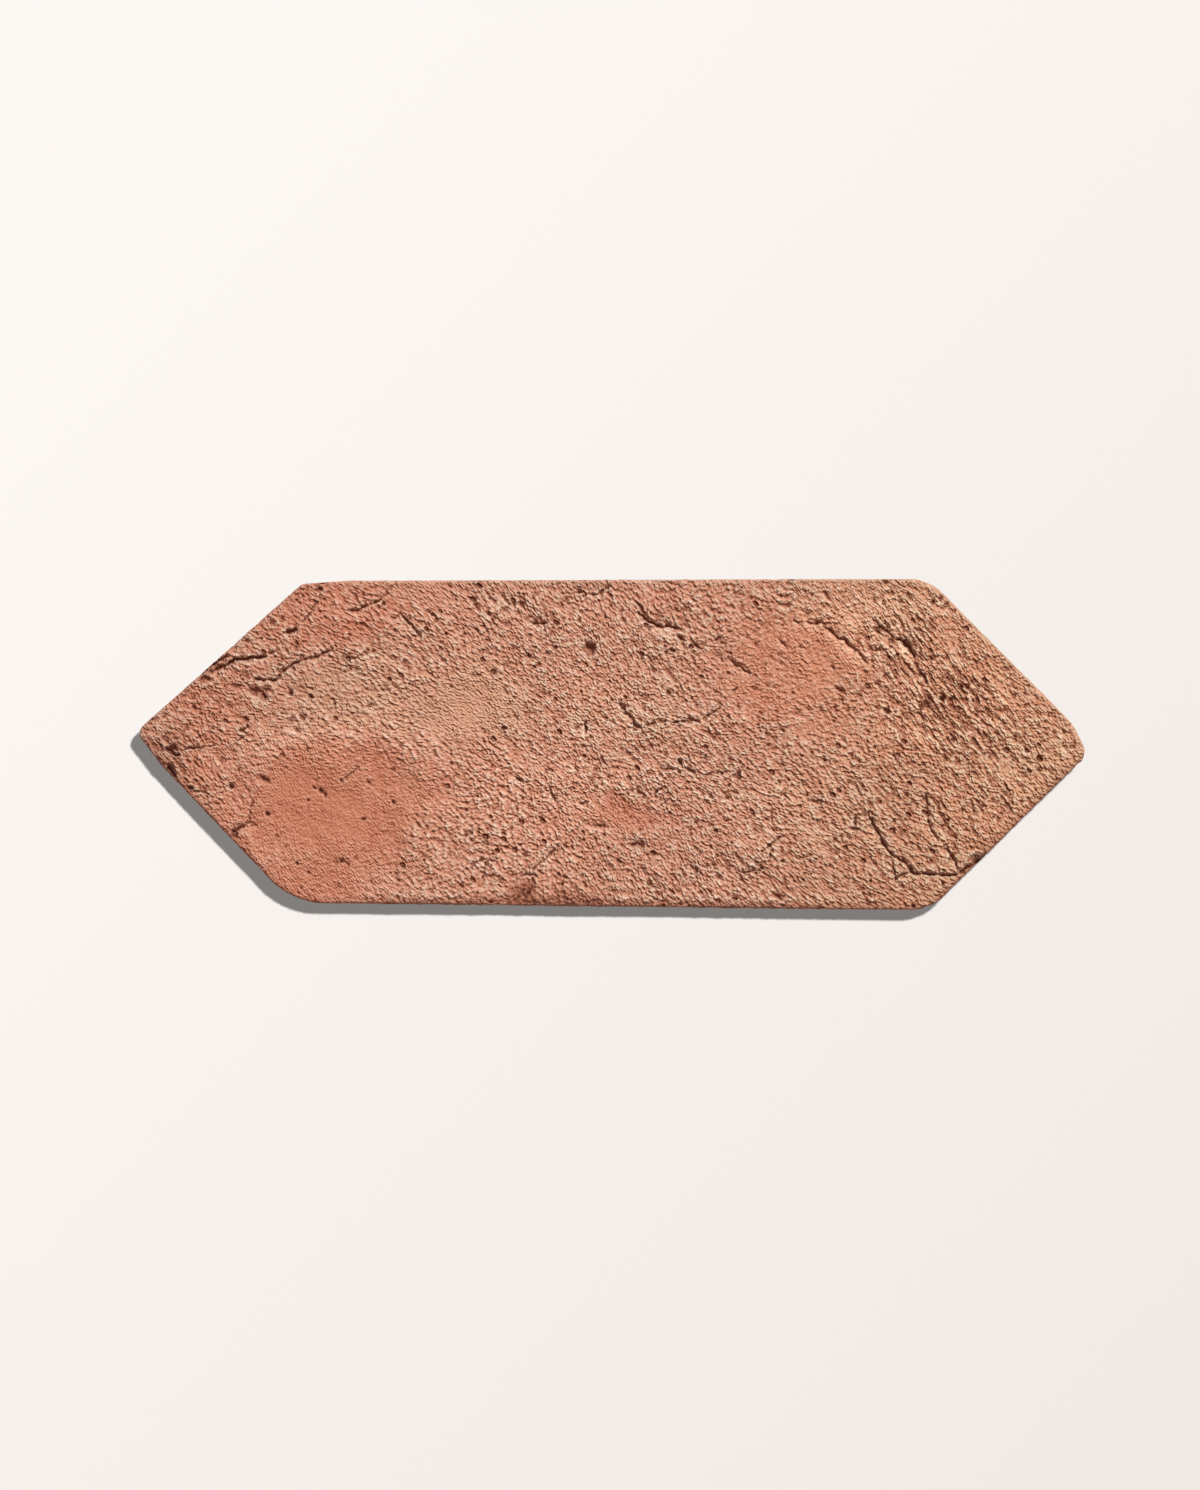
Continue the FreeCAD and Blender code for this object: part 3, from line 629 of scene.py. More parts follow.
# %% Dents at the left
DENTS_LEFT = [
    (-98.7, 30, 0.8, 0.7), (-93.8, 30.8, 0.6, 0.5), (-89.8, 30.6, 0.5, 0.4), (-114.5, 32.5, 0.9, 0.7),
    (-104.3, 24.7, 0.8, 0.6), (-120, 12.3, 0.9, 0.6), (-131, 14.5, 0.7, 0.6),
    (-125.5, 15.5, 0.9, 0.5, 40), (-116.3, 18.8, 0.9, 0.6), (-112, 18.6, 0.8, 0.6), (-125, 5, 0.8, 0.5),
    (-111.8, 7.8, 1, 0.5, 90), (-112.2, 16.2, 2, 0.9, -42), (-109.3, 15.4, 2.2, 1.5, -50),
    (-108.4, 17.2, 1.8, 1, -10), (-127.6, 20.4, 1.8, 1.1, 35), (-126, 20.3, 1.4, 0.8, 0),
    (-137.2, -1, 1.8, 1.2, -40), (-138.2, -7.2, 0.9, 0.8), (-129, 8, 1.3, 0.5, 20),
    (-132, 7, 1.2, 0.5, -40), (-116.1, 4.4, 0.7, 0.6), (-100.5, 16.2, 1.1, 0.8), (-94, 15, 1, 0.6),
    (-123, 6, 0.6, 0.5), (-102.5, 10, 1.4, 0.7, 0), (-97, 8.8, 1.2, 0.8), (-98.3, 4.5, 1.2, 0.8),
    (-94, 4, 0.8, 0.5), (-100.5, 7.5, 1.5, 0.8), (-103, 39, 0.9, 0.6), (-106.5, 38, 1.4, 0.6, -30),
    (-92, 48.2, 1.6, 0.7, 0), (-91.5, 46.3, 1, 0.5, 90), (-87.5, 44, 0.9, 0.6),
    (-79.5, 42, 1.2, 0.6, 30), (-82.5, 42, 0.6, 0.5), (-80, 46, 0.7, 0.5), (-82, 24, 1.2, 0.8),
    (-80, 23.6, 0.9, 0.8), (-77.5, 21.5, 2.5, 0.5, -10), (-76, 12, 1, 0.7), (-144.6, 6.7, 1.2, 0.4, 45),
    (-140, 9, 1.2, 0.5, 30), (-53, 26.7, 1.7, 0.5, -25), (-26.6, 34, 1.4, 0.4, -62),
    (-20.5, 36.6, 1, 0.4, 80), (-110.5, -10.5, 1.3, 0.6, -20), (-107.3, -11.8, 1.3, 0.5, -30),
    (-113.5, -14.4, 0.9, 0.5), (-103.7, -19, 0.5, 0.4), (-105, -28.5, 0.6, 0.3), (-106, -40, 0.4, 0.3),
    (-85.8, -44.4, 0.8, 0.5), (-80, -35.7, 0.9, 0.5), (-93.2, -13.6, 0.5, 0.4),
    (-95.2, -17.5, 0.4, 0.4), (-92.2, -11.3, 0.7, 0.5), (-90.5, -24.8, 1, 0.3, -10),
    (-88.4, -25, 0.8, 0.3, -40), (-80, -13.3, 1, 0.4), (-76, -12, 1.2, 0.7), (-82.3, -20.3, 0.7, 0.4),
]
DENTS_LEFT_MIDDLE = [
    (-57, 33.9, 1.6, 0.5, -10), (-42, 36, 0.9, 0.6), (-34.8, 34, 0.8, 0.6), (-38.7, 41, 1.2, 0.7, -50),
    (-37.3, 39.7, 0.8, 0.6), (-33, 37.5, 0.8, 0.7), (-33.5, 42.2, 1.2, 0.8), (-28.1, 44, 1.2, 1),
    (-30.7, 43.7, 0.9, 0.6), (-28, 45.8, 1.2, 0.5, -10), (-29.5, 41.5, 1.2, 0.5),
    (-38.5, 50, 0.9, 0.5, 0), (-42, 47.6, 0.8, 0.5), (-23.8, 47.3, 0.9, 0.7), (-20.3, 49, 1, 0.5),
    (-17, 49.8, 0.9, 0.4), (-14.5, 45, 0.8, 0.4, 0), (-16.5, 42.9, 1.8, 0.4, 15),
    (-9.5, 41.5, 0.9, 0.5), (-18.5, 41, 0.8, 0.4, 30), (-5, 33.5, 0.7, 0.5), (-5.6, 32, 0.6, 0.5),
    (-9.3, 36.7, 0.7, 0.5), (-2, 34.2, 0.8, 0.5), (-5, 26.5, 0.8, 0.7), (-8.2, 25.4, 0.8, 0.4, 0),
    (-12.5, 24.1, 0.8, 0.6), (-13.3, 14.4, 1.0, 0.5), (-9.5, 13.5, 0.7, 0.6), (-21, 16.4, 0.8, 0.5),
    (-33.1, 16.8, 1.7, 0.6, -65), (-43, 22, 1.5, 0.7, -30), (-46, 23.1, 1, 0.4, 15),
    (-21.5, 21.1, 0.8, 0.5), (-23.4, 24.5, 1.2, 0.4, -40), (-30.4, 19.4, 0.5, 0.5),
    (-30, 8.5, 1.1, 0.5, -50), (-40.7, 5.2, 1.3, 0.4, -55), (-52.5, 0.2, 0.6, 0.4),
    (-61.6, 2.5, 0.8, 0.5), (-70.5, 4.6, 0.7, 0.4, 0), (-50, 4.3, 0.8, 0.4), (-48.3, 5.2, 0.7, 0.4),
    (-1.8, 8.4, 0.7, 0.6), (-11, 5.6, 1.3, 0.7, 0), (-71, 17.2, 1.8, 0.5, 0),
    (-62.5, 18.5, 0.9, 0.6, 90), (-58.3, 16.8, 0.7, 0.5), (-75, 12.4, 1, 0.7), (-17.5, 6.8, 1, 0.6),
    (-25.8, 0.6, 0.9, 0.5), (-19.5, 28.5, 1.6, 0.6, -15), (-17.5, 28, 0.8, 0.6),
    (-62, -5.6, 1, 0.5, 20), (-71, -2.7, 0.9, 0.4), (-66, -0.3, 0.9, 0.5), (-55.2, -3.5, 0.6, 0.5),
    (-44.7, -14.1, 0.7, 0.6), (-42.2, -15.8, 0.7, 0.5), (-44, -16.2, 0.8, 0.4),
    (-39.2, -17.6, 1.2, 0.4, 0), (-37.4, -17.6, 0.6, 0.6), (-42.6, -18.8, 0.9, 0.4, 30),
    (-37.5, -20.2, 0.6, 0.6), (-29.4, -20, 0.7, 0.5), (-30.9, -21.9, 1.4, 0.5, -50),
    (-28.6, -24.2, 1.3, 0.6), (-22, -22.2, 1, 0.5, -40), (-24.3, -12.1, 0.9, 0.5, -35),
    (-41, -11, 0.6, 0.5), (-38, -13.9, 0.7, 0.5), (-47.7, -7, 0.8, 0.5), (-38.6, -26.6, 1.1, 0.6, -40),
    (-34, -27.5, 1.2, 0.6, -40), (-31.5, -26.3, 0.9, 0.6), (-39.9, -30.6, 0.7, 0.8),
    (-45.1, -27.5, 1.2, 0.8), (-46.3, -22.9, 1.1, 0.5, 0), (-53.6, -22.6, 1.4, 0.5, -55),
    (-60.4, -25, 1.2, 0.7, -40), (-62.7, -28.5, 1.1, 0.4, 40), (-12.7, -30.3, 0.7, 0.6),
    (-16.9, -31.6, 0.6, 0.5), (-9.6, -40.8, 0.9, 0.6), (-27.3, -34.5, 1.3, 0.8),
    (-22.2, -5.4, 0.9, 0.4, 0), (-18.8, -3.1, 0.9, 0.5, 0), (-18.8, -8, 1.2, 0.7),
    (-25.4, -2.2, 0.9, 0.4, 0), (-8.8, -0.3, 1, 0.5, 0), (-10.8, -7.6, 1.2, 0.5, -40),
    (-6.3, -11.3, 1.5, 0.5, -50), (-4.9, -13.4, 0.9, 0.5), (-5, -7.8, 1.2, 0.5), (-3, -5, 1.4, 0.5),
    (-54, -43.7, 0.8, 0.5, -60), (-67, -47.7, 0.9, 0.6), (-75.3, -43, 0.9, 0.6), (-34.8, -43, 1.5, 0.5),
    (-29.9, -42.3, 1.2, 0.5, -60),
]
DEEP_DENTS_LEFT = [
    (-111, 16.7, 2.7, 1.0, -12), (-109.2, 15.6, 2.0, 1.3, -60), (-108.6, -11, 2.2, 0.8, -28),
    (-9, -0.4, 1.1, 0.6, 5),
]
print(len(DENTS_LEFT + DENTS_LEFT_MIDDLE + DEEP_DENTS_LEFT), "dents at the left")

# %% Dents at the right
DENTS_RIGHT_MIDDLE = [
    (17.5, 44.2, 0.5, 0.4), (24.2, 43.2, 1.4, 0.4, 0), (25.6, 45.1, 1.3, 0.5, -20),
    (29.9, 40.2, 1.1, 0.4, 15), (33.9, 41.4, 1.2, 0.4, -30), (39, 46.9, 1.2, 0.4, 0),
    (37.5, 43.2, 0.7, 0.6), (54.3, 43.6, 2.1, 0.6, -10), (49, 42.4, 0.9, 0.4),
    (52.5, 39.4, 0.9, 0.5, -30), (54.1, 37.8, 1.3, 0.3, 0), (61, 41.3, 1.6, 0.6, -30),
    (57.4, 47.9, 1.2, 0.5), (60.3, 47.8, 0.9, 0.5), (67.5, 46.4, 2.2, 0.6, -48),
    (33.2, 33, 1.1, 0.6, 0), (34.7, 31.8, 1.2, 0.6, -10), (37.5, 32.5, 0.6, 0.4), (42, 33.4, 0.6, 0.5),
    (45.1, 31.6, 0.9, 0.5, -35), (33.2, 27.9, 1, 0.5, 0), (34.2, 26.5, 0.8, 0.5),
    (52.5, 28.3, 0.5, 0.5), (52.8, 25.4, 0.6, 0.5), (59, 30.5, 0.7, 0.5), (61.2, 28.4, 0.5, 0.3),
    (69, 24, 1, 0.7), (72, 31.2, 0.6, 0.5), (13.3, 30, 0.6, 0.5), (9.2, 27.2, 0.8, 0.6, 90),
    (3.2, 32, 0.6, 0.5), (11.8, 36.5, 0.6, 0.6), (22.9, 37.3, 0.7, 0.5), (25.5, 34.8, 0.9, 0.4, 0),
    (15.2, 38.8, 0.9, 0.4), (2.8, 42, 0.8, 0.5), (3.5, 39, 1.4, 0.6, -40), (10.4, 22.1, 0.5, 0.4),
    (11.6, 21.8, 0.4, 0.5), (12.4, 23.2, 1, 0.3, 0), (29.8, 21.3, 0.6, 0.5), (29.5, 18.8, 0.5, 0.5),
    (34, 20.7, 0.6, 0.5), (32.5, 16.8, 0.8, 0.6), (22.2, 14.5, 0.9, 0.4), (17.4, 16.4, 1.1, 0.8),
    (7, 15.7, 1, 0.4, 0), (26.2, 12.2, 0.6, 0.5), (20, 11.8, 0.6, 0.5), (12.3, 10.2, 0.9, 0.4),
    (0.6, 6.8, 0.8, 0.5), (34.5, 12.3, 0.6, 0.4, 90), (39.5, 12, 1.2, 0.5, -50), (48.6, 18.5, 0.7, 0.5),
    (51, 18, 0.8, 0.4), (47.2, 16.8, 0.8, 0.3, 0), (48.4, 7, 1.2, 0.4, 0), (61.5, 11.4, 1, 0.4, 0),
    (65.8, 10.7, 1.4, 0.5, -28), (71, 17.2, 1.9, 0.7, -30), (71.7, 14.2, 1, 0.6),
    (57.8, 0.3, 1, 0.4, 0), (53.8, -0.8, 0.8, 0.5), (48.8, 3, 1, 0.6), (53.3, 4.5, 1.2, 0.7),
    (11.8, -9, 0.9, 0.5, -10), (21, -8.7, 0.6, 0.6), (19.3, -9.8, 0.6, 0.5),
    (16.6, -5.8, 1.4, 0.5, -20), (15.3, -16.6, 0.8, 0.4), (11.2, -17.7, 0.4, 0.3),
    (6.2, -22.8, 0.6, 0.3), (26.3, -23.8, 0.9, 0.6), (30.8, -24.8, 0.7, 0.6), (31, -16.2, 0.9, 0.7),
    (36, -16.4, 1.1, 0.7, -20), (35, -15.2, 1.4, 0.5, -50), (26.5, -13.7, 0.8, 0.5),
    (27.5, -2.8, 0.6, 0.4), (32.6, -12.4, 0.9, 0.4, -60), (40.8, -13.9, 1.8, 0.4, 0),
    (38.7, -15, 1.3, 0.5, -20), (29.5, -18, 1.6, 0.5, -35), (47, -26.5, 0.6, 0.4),
    (64.5, -24, 0.8, 0.4), (66.5, -5, 0.9, 0.8), (69.3, -9.2, 0.8, 0.6), (68.3, -15, 0.8, 0.6),
    (47, -33.5, 0.7, 0.5), (60.7, -35, 0.8, 0.6), (58.6, -35.5, 0.6, 0.5), (68.5, -37.8, 0.8, 0.6),
    (69.5, -41.5, 0.6, 0.5), (69.5, -29.7, 0.8, 0.7), (72, -28.5, 0.8, 0.5), (33.5, -31.5, 0.5, 0.4),
    (33.5, -41.5, 1.2, 0.7, -20), (26.3, -39.2, 1.2, 0.5, -20), (23, -40.8, 0.7, 0.5),
    (40.2, -42, 0.9, 0.5, 90), (12, -43.5, 2, 0.7), (0.8, -46, 1, 0.5, -60), (51.8, -47.4, 2, 0.8, -25),
    (38.5, -47.6, 1.6, 0.6, 0), (27.8, -46.2, 0.8, 0.6), (63, -48, 0.8, 0.6),
    (15.8, -49.5, 2.5, 0.6, 20),
]
DENTS_RIGHT = [
    (87.9, 37.5, 0.8, 0.6), (86.2, 36.7, 0.7, 0.5), (92.8, 40.5, 0.6, 0.5), (93, 46.3, 1.8, 0.6, -52),
    (87.4, 47.7, 0.8, 0.6), (90, 44.6, 0.8, 0.5), (100.3, 44.5, 1, 0.8), (102.5, 45.5, 0.7, 0.6),
    (99.5, 46.5, 0.6, 0.5), (107.2, 41.6, 1, 0.5, 30), (123.3, 23.4, 1.1, 0.5, 0),
    (110.6, 14, 0.9, 0.7, -50), (114, 15.3, 0.9, 0.6), (115.9, 16, 1, 0.5, -20), (117.6, 9.2, 0.8, 0.7),
    (122.6, 10.6, 2, 0.6, 5), (115.5, 7.4, 1.2, 0.6, -60), (114, 9, 0.9, 0.6),
    (106.7, 1.6, 1.2, 0.6, -20), (110.2, 0, 1.8, 0.6, -35), (118, 1, 1, 0.6, -30),
    (116.5, 2.6, 1, 0.5, -55), (126, 2.5, 0.8, 0.8), (106.2, 14, 1.2, 0.8, -50), (103.5, 14, 0.7, 0.7),
    (97, 11.8, 1, 0.8), (93.5, 9.8, 1.2, 0.6), (82.8, 11.6, 0.9, 0.5), (77.6, 15.5, 1, 0.6),
    (92, 21.4, 0.8, 0.6), (102.7, 8, 1.8, 0.6, -75), (106.5, 5.8, 1.2, 0.6, -30),
    (110.2, 6.6, 1.8, 0.6, -55), (104.2, 26.8, 1, 0.5, -50), (100, 27, 1.2, 0.6, -50),
    (109, 18.5, 1.2, 0.9), (112.3, 17, 1.6, 0.5, -60), (120.4, 3.5, 1.3, 0.6, -50),
    (122.8, 7, 1, 0.5, -20), (130.5, 18.5, 0.5, 0.4), (143.8, -0.5, 0.8, 0.6), (141.5, 4, 1, 0.6),
    (89.2, 13.2, 1.2, 0.5), (94.6, 15.2, 1, 0.5, -55), (97.8, 4.7, 0.8, 0.5), (98.3, 3, 0.7, 0.5),
    (101.5, 11.5, 0.8, 0.6), (104.8, 27, 0.7, 0.5), (83.5, -18, 1, 0.6, 0), (92.3, -15.5, 0.9, 0.6),
    (79.8, -10.4, 1.2, 0.5, -25), (77, -7.2, 0.7, 0.6), (113.4, -9, 1.2, 0.7, -30),
    (111.2, -9.4, 1, 0.6, 90), (110.7, -6, 0.8, 0.4, 10), (104.3, -4.4, 1, 0.7, 90),
    (101.5, -2.7, 0.8, 0.6), (103, -8.4, 0.9, 0.5), (105.5, -12.5, 0.8, 0.4, 0),
    (107.2, -13.6, 0.9, 0.5), (133.4, -8, 1.2, 0.6, -35), (128.2, -12.5, 0.9, 0.4, 0),
    (128.2, -18, 0.7, 0.6), (123.3, -15.5, 0.6, 0.5), (120.5, -23, 0.6, 0.5), (111, -26.5, 1.1, 0.5, 0),
    (103.5, -25.5, 0.8, 0.8), (97.6, -35, 0.7, 0.6), (99.8, -36.5, 0.9, 0.6), (84.6, -11.5, 0.9, 0.5),
    (119.5, -8.6, 0.9, 0.5), (96.5, -8.5, 0.8, 0.5), (94.8, -1.3, 0.8, 0.5), (81.8, -4.3, 0.9, 0.5),
    (74.8, -3.4, 1, 0.6, -30), (94.5, -46, 0.8, 0.5), (88.5, -24, 1, 0.6), (110, -20.5, 0.7, 0.5),
]
print(len(DENTS_RIGHT_MIDDLE + DENTS_RIGHT), "dents at the right")

# %% Hollows and proud grains
HOLLOWS = [
    (-64.5, 25, 2.2, 1.3, -30), (6.6, 32, 1.6, 1.2), (18, 22.2, 3.2, 1.0, -52),
    (10.7, 14.3, 2, 1.1, -35), (58, 9.8, 1.5, 1.3), (9.2, -0.9, 2.4, 0.8, 0), (106, -28, 1.8, 1.1, -20),
    (-117, -26.5, 2.4, 1.4, 40), (-139.3, 1.5, 1.8, 1.1, -40),
]
BLOWHOLE = [(-7.0, 29.9, 2.2, 2.0, 0)]
PROUD = [
    (-113.2, -29.5, 3.4, 0.9, -60), (-111, -13, 1.2, 0.7, 20), (-84, -18.5, 1.0, 0.5),
    (24.8, 47.2, 0.6, 0.5), (-139.4, -4.0, 2.6, 1.3, -42), (-66.2, 19, 2.6, 0.6, -58),
    (-56, 26.5, 4.5, 0.5, -24), (120.8, 14.5, 3.7, 0.8, -42), (50.8, -41, 2.8, 0.9, -34),
    (32, -35.2, 2.4, 0.8, -84), (-76.2, -47, 1.4, 0.8, -53), (-111.8, 12.8, 2.6, 0.8, -60),
]
print(len(HOLLOWS), "hollows,", len(BLOWHOLE), "blowhole and", len(PROUD), "proud grains")

# %% [markdown]
# ## Slopes
# Along some cracks one side has sunk, and the clay falls towards the crack over a few millimetres. Such a
# slope is a line too, with its reach to the left and to the right of the line, and its depth.

# %% Slopes
SLOPES = [
    (1.2, 0.7, 0.5, [(83, 38), (86.5, 35), (90.5, 32.2)]),
    (3.0, 0.6, 1.0, [(90.5, 32.4), (93.5, 29.2), (95.8, 25.5)]),
    (1.4, 0.6, 0.6, [(95.5, 25), (96.5, 22.6), (98.6, 19.4)]),
    (2.4, 0.6, 0.7, [(98, 20), (100, 17.5), (103, 14.6)]),
    (2.2, 0.8, 0.7, [(80.5, -21), (82, -25.5), (84.5, -31), (87.8, -35)]),
    (0.9, 1.6, 0.4, [(65.8, 37.8), (70.5, 33.5), (74, 30.8), (77, 29.2), (80.5, 25.5)]),
    (2.2, 0.6, 0.8, [(26, 5.5), (28.5, 4), (33.5, 1)]),
    (1.8, 0.6, 0.7, [(-62.5, 36.8), (-60, 33)]),
    (0.8, 0.8, 0.5, [(2.5, -0.5), (10.5, -7.5)]),
    (0.8, 0.8, 0.4, [(4.8, 0.4), (12.5, -6.2)]),
    (1.2, 0.8, 0.6, [(60, -16.5), (64, -18), (66, -21), (68, -23)]),
    (0.8, 0.8, 0.5, [(-120.5, -15.5), (-117.5, -18), (-115.5, -21)]),
    (0.8, 0.8, 0.4, [(-117.5, -15), (-115, -17.5), (-113.8, -20)]),
    (1.0, 0.6, 0.6, [(103, 9), (103.4, 5.5), (106.5, 1.8)]),
    (1.0, 0.6, 0.6, [(108.5, 2), (111.5, -0.5), (113.5, -4)]),
    (2.8, 2.8, 0.9, [(-96, -49.4), (-66, -50), (-4, -50.6), (59, -51.5), (92, -51.8)]),
]
SLOPE_CURVE = 1.3
SLOPE_RAMP = 0.25


def fall_of_slopes(places):
    """How far the slopes lower each place, in millimetres."""
    fall = np.zeros(len(places))
    for left_reach, right_reach, depth, line in SLOPES:
        near = box_around(places, line, max(left_reach, right_reach))
        gap, along, left_side, length = beside_line(places[near, :2], line)
        reach = np.where(left_side, left_reach, right_reach)
        ends = np.clip(np.minimum(along, length - along) / (SLOPE_RAMP * length), 0, 1)
        fall[near] = np.maximum(fall[near], np.clip(1 - gap / reach, 0, 1) ** SLOPE_CURVE * ends * depth)
    return fall


slopes = fall_of_slopes(jagged)
print("deepest slope, mm:", round(slopes.max(), 2))

# %% [markdown]
# ## Opening the cracks
# A crack is widest and deepest along its middle, closes towards its ends, and wavers between. Its lips are
# worn, so the clay beside it falls a little. Both are worked out as shares here and carved later, because
# one Displace modifier can then cut all the cracks at once.

# %% Depths of the cracks
DEEPEST = 3.0
LEAST_HALF_WIDTH = 0.1
LIP_REACH = 1.5
WAVER_STEP = 2.2
WAVER = 0.9
LEAST_WAVER = 0.3
MOST_WAVER = 1.2
LONGEST_TAPER = 2.5
TAPER_SHARE = 0.3
CLOSED_SHARE = 0.3
WALL_STEEPNESS = 1.25


def open_cracks(places):
    """How deep the cracks go at each place, and how far their worn lips fall, as shares."""
    crack = np.zeros(len(places))
    lip = np.zeros(len(places))
    for half_width, depth, line in CRACKS:
        near = box_around(places, line, 2 * LIP_REACH)
        gap, along, left_side, length = beside_line(places[near, :2], line)
        waver = np.array([noise.noise(Vector(place) / WAVER_STEP) for place in places[near]])
        taper = min(LONGEST_TAPER, TAPER_SHARE * length)
        ends = np.sqrt(np.clip(np.minimum(along, length - along) / taper, 0, 1))
        opened = ends * np.clip(WAVER + WAVER * waver, LEAST_WAVER, MOST_WAVER)
        opened = CLOSED_SHARE + (1 - CLOSED_SHARE) * opened
        width = (half_width + LEAST_HALF_WIDTH) * opened
        profile = np.clip(WALL_STEEPNESS * (1 - gap / width), 0, 1)
        crack[near] = np.maximum(crack[near], profile * opened * depth / DEEPEST)
        lip[near] = np.maximum(lip[near], np.exp(-((gap / LIP_REACH) ** 2)) * ends * half_width)
    return crack, lip


crack, lip = open_cracks(jagged)
print("deepest crack, mm:", round(crack.max() * DEEPEST, 2))

# %% [markdown]
# ## Pressing the marks
# Each mark is an oval bowl, as deep as its width and its kind say: holes are deeper for their width than
# dents, and hollows are shallow. The vertices are sorted along the tile once, so that a mark looks only at
# those near it. Where marks overlap, the deeper one counts.

# %% Pressed marks
USUAL_SLANT = -45
BOWL_FULLNESS = 0.8
RAGGED_SHAKES = ((0.3, 2.5), (0.25, 0.9))


class Presser:
    """Presses oval marks into a field of depths over some places."""

    def __init__(self, places):
        self.order = np.argsort(places[:, 0])
        self.sorted_x = places[self.order, 0]
        self.places = places[:, :2]
        self.depths = np.zeros(len(places))

    def press(self, x, y, long_reach, short_reach, angle, depth):
        first, last = np.searchsorted(self.sorted_x, (x - long_reach, x + long_reach))
        near = self.order[first:last]
        away = self.places[near] - (x, y)
        along = away @ (math.cos(angle), math.sin(angle)) / long_reach
        across = away @ (-math.sin(angle), math.cos(angle)) / short_reach
        bowl = np.clip(1 - along ** 2 - across ** 2, 0, 1) ** BOWL_FULLNESS
        self.depths[near] = np.maximum(self.depths[near], bowl * depth)


def press_marks(places, marks, deep_for_width, widen=1.1):
    """The depths of a list of marks, each as deep as its width says."""
    presser = Presser(places)
    for x, y, half_length, half_width, *turn in marks:
        angle = math.radians(turn[0] if turn else USUAL_SLANT)
        presser.press(x, y, widen * half_length, widen * half_width, angle, deep_for_width * half_width)
    return presser.depths


ragged = shaken(places, RAGGED_SHAKES)
dents = np.maximum.reduce([
    press_marks(ragged, DENTS_LEFT + DENTS_LEFT_MIDDLE, deep_for_width=1.2, widen=1.0),
    press_marks(ragged, DEEP_DENTS_LEFT + DENTS_RIGHT_MIDDLE, deep_for_width=1.5),
    press_marks(ragged, DENTS_RIGHT, deep_for_width=1.7),
])
hollows = press_marks(ragged, HOLLOWS, deep_for_width=0.5)
blowhole = press_marks(ragged, BLOWHOLE, deep_for_width=1.0)
holes = press_marks(ragged, HOLES, deep_for_width=2.0, widen=1.35)
proud_marks = press_marks(ragged, PROUD, deep_for_width=0.45)
print("deepest dent and hole, mm:", round(dents.max(), 2), round(holes.max(), 2))

# %% [markdown]
# ## Pits thrown at random
# Between the listed marks the face is full of smaller pits. Nobody would set those by hand: they are thrown
# over the tile by a random generator, with a seed so that they fall the same way each time. The smooth
# patches keep few of them.

# %% Pits
PIT_COUNT = 480
PIT_SEED = 11
PIT_REACH = (-0.35, 0.3)
LONGEST_PIT = 1.3
PIT_ROUNDNESS = (0.45, 0.85)
PIT_TURN = 0.45
PIT_DEPTHS = (0.3, 0.75)


def scatter_pits(places, less):
    """The depths of small pits thrown over the face, shallower where a share says less."""
    random = np.random.default_rng(PIT_SEED)
    presser = Presser(places)
    half_length, half_width = TILE_LENGTH / MM / 2, (TILE_HIGH.y - TILE_LOW.y) / MM / 2
    for _ in range(PIT_COUNT):
        x = random.uniform(-half_length, half_length)
        y = random.uniform(-half_width, half_width)
        long_reach = min(random.lognormal(*PIT_REACH), LONGEST_PIT)
        short_reach = long_reach * random.uniform(*PIT_ROUNDNESS)
        angle = math.radians(USUAL_SLANT) + random.normal(0, PIT_TURN)
        presser.press(x, y, long_reach, short_reach, angle, random.uniform(*PIT_DEPTHS))
    return presser.depths * (1 - less)


pits = scatter_pits(ragged, np.sqrt(smooth))
print(PIT_COUNT, "pits, the deepest, mm:", round(pits.max(), 2))

# %% [markdown]
# ## Grooves in the crumbly clay
# Where the clay was too dry when it was struck off, its top tore into steep, narrow grooves. They are
# thrown like the pits, and kept where the clay is crumbly.

# %% Grooves
GROOVE_THROWS = 4600
GROOVE_SEED = 5
GROOVE_ANGLE = math.radians(-57)
GROOVE_TURN = 0.13
GROOVE_LENGTHS = (2.0, 4.4)
GROOVE_WIDTHS = (0.38, 0.55)
GROOVE_DEPTHS = (0.4, 0.8)
GROOVE_RIM_GAP = 1.0


def inside_rim(places):
    """How far each place lies in from the sharp outline of the face, in millimetres."""
    corners = np.array([(x, y) for x, y, radius in CORNERS.values()])
    gap = np.full(len(places), np.inf)
    for start, end in zip(corners, np.roll(corners, -1, axis=0)):
        inward = np.array((start[1] - end[1], end[0] - start[0])) / np.linalg.norm(end - start)
        gap = np.minimum(gap, (places[:, :2] - start) @ inward)
    return np.clip(gap, 0, None)


def scatter_grooves(places):
    """The depths of steep, drop-shaped grooves, thrown where the clay is crumbly."""
    random = np.random.default_rng(GROOVE_SEED)
    presser = Presser(places)
    throws = random.uniform((TILE_LOW.x, TILE_LOW.y), (TILE_HIGH.x, TILE_HIGH.y), (GROOVE_THROWS, 2)) / MM
    kept = random.uniform(size=GROOVE_THROWS) < zone(throws, CRUMBLY_PATCHES) ** 2
    chosen = throws[kept & (inside_rim(throws) > GROOVE_RIM_GAP)]
    for x, y in chosen:
        long_reach = random.uniform(*GROOVE_LENGTHS)
        short_reach = random.uniform(*GROOVE_WIDTHS)
        angle = GROOVE_ANGLE + random.normal(0, GROOVE_TURN)
        presser.press(x, y, long_reach, short_reach, angle, random.uniform(*GROOVE_DEPTHS))
    print(len(chosen), "grooves")
    return presser.depths


grooves = scatter_grooves(ragged)

# %% [markdown]
# ## Chips along the cracks
# The lips of a crack crumble. Small chips are thrown along each crack, to both sides of it, and turned
# roughly its way. Then everything that is pressed in, apart from the cracks and holes, is put together.

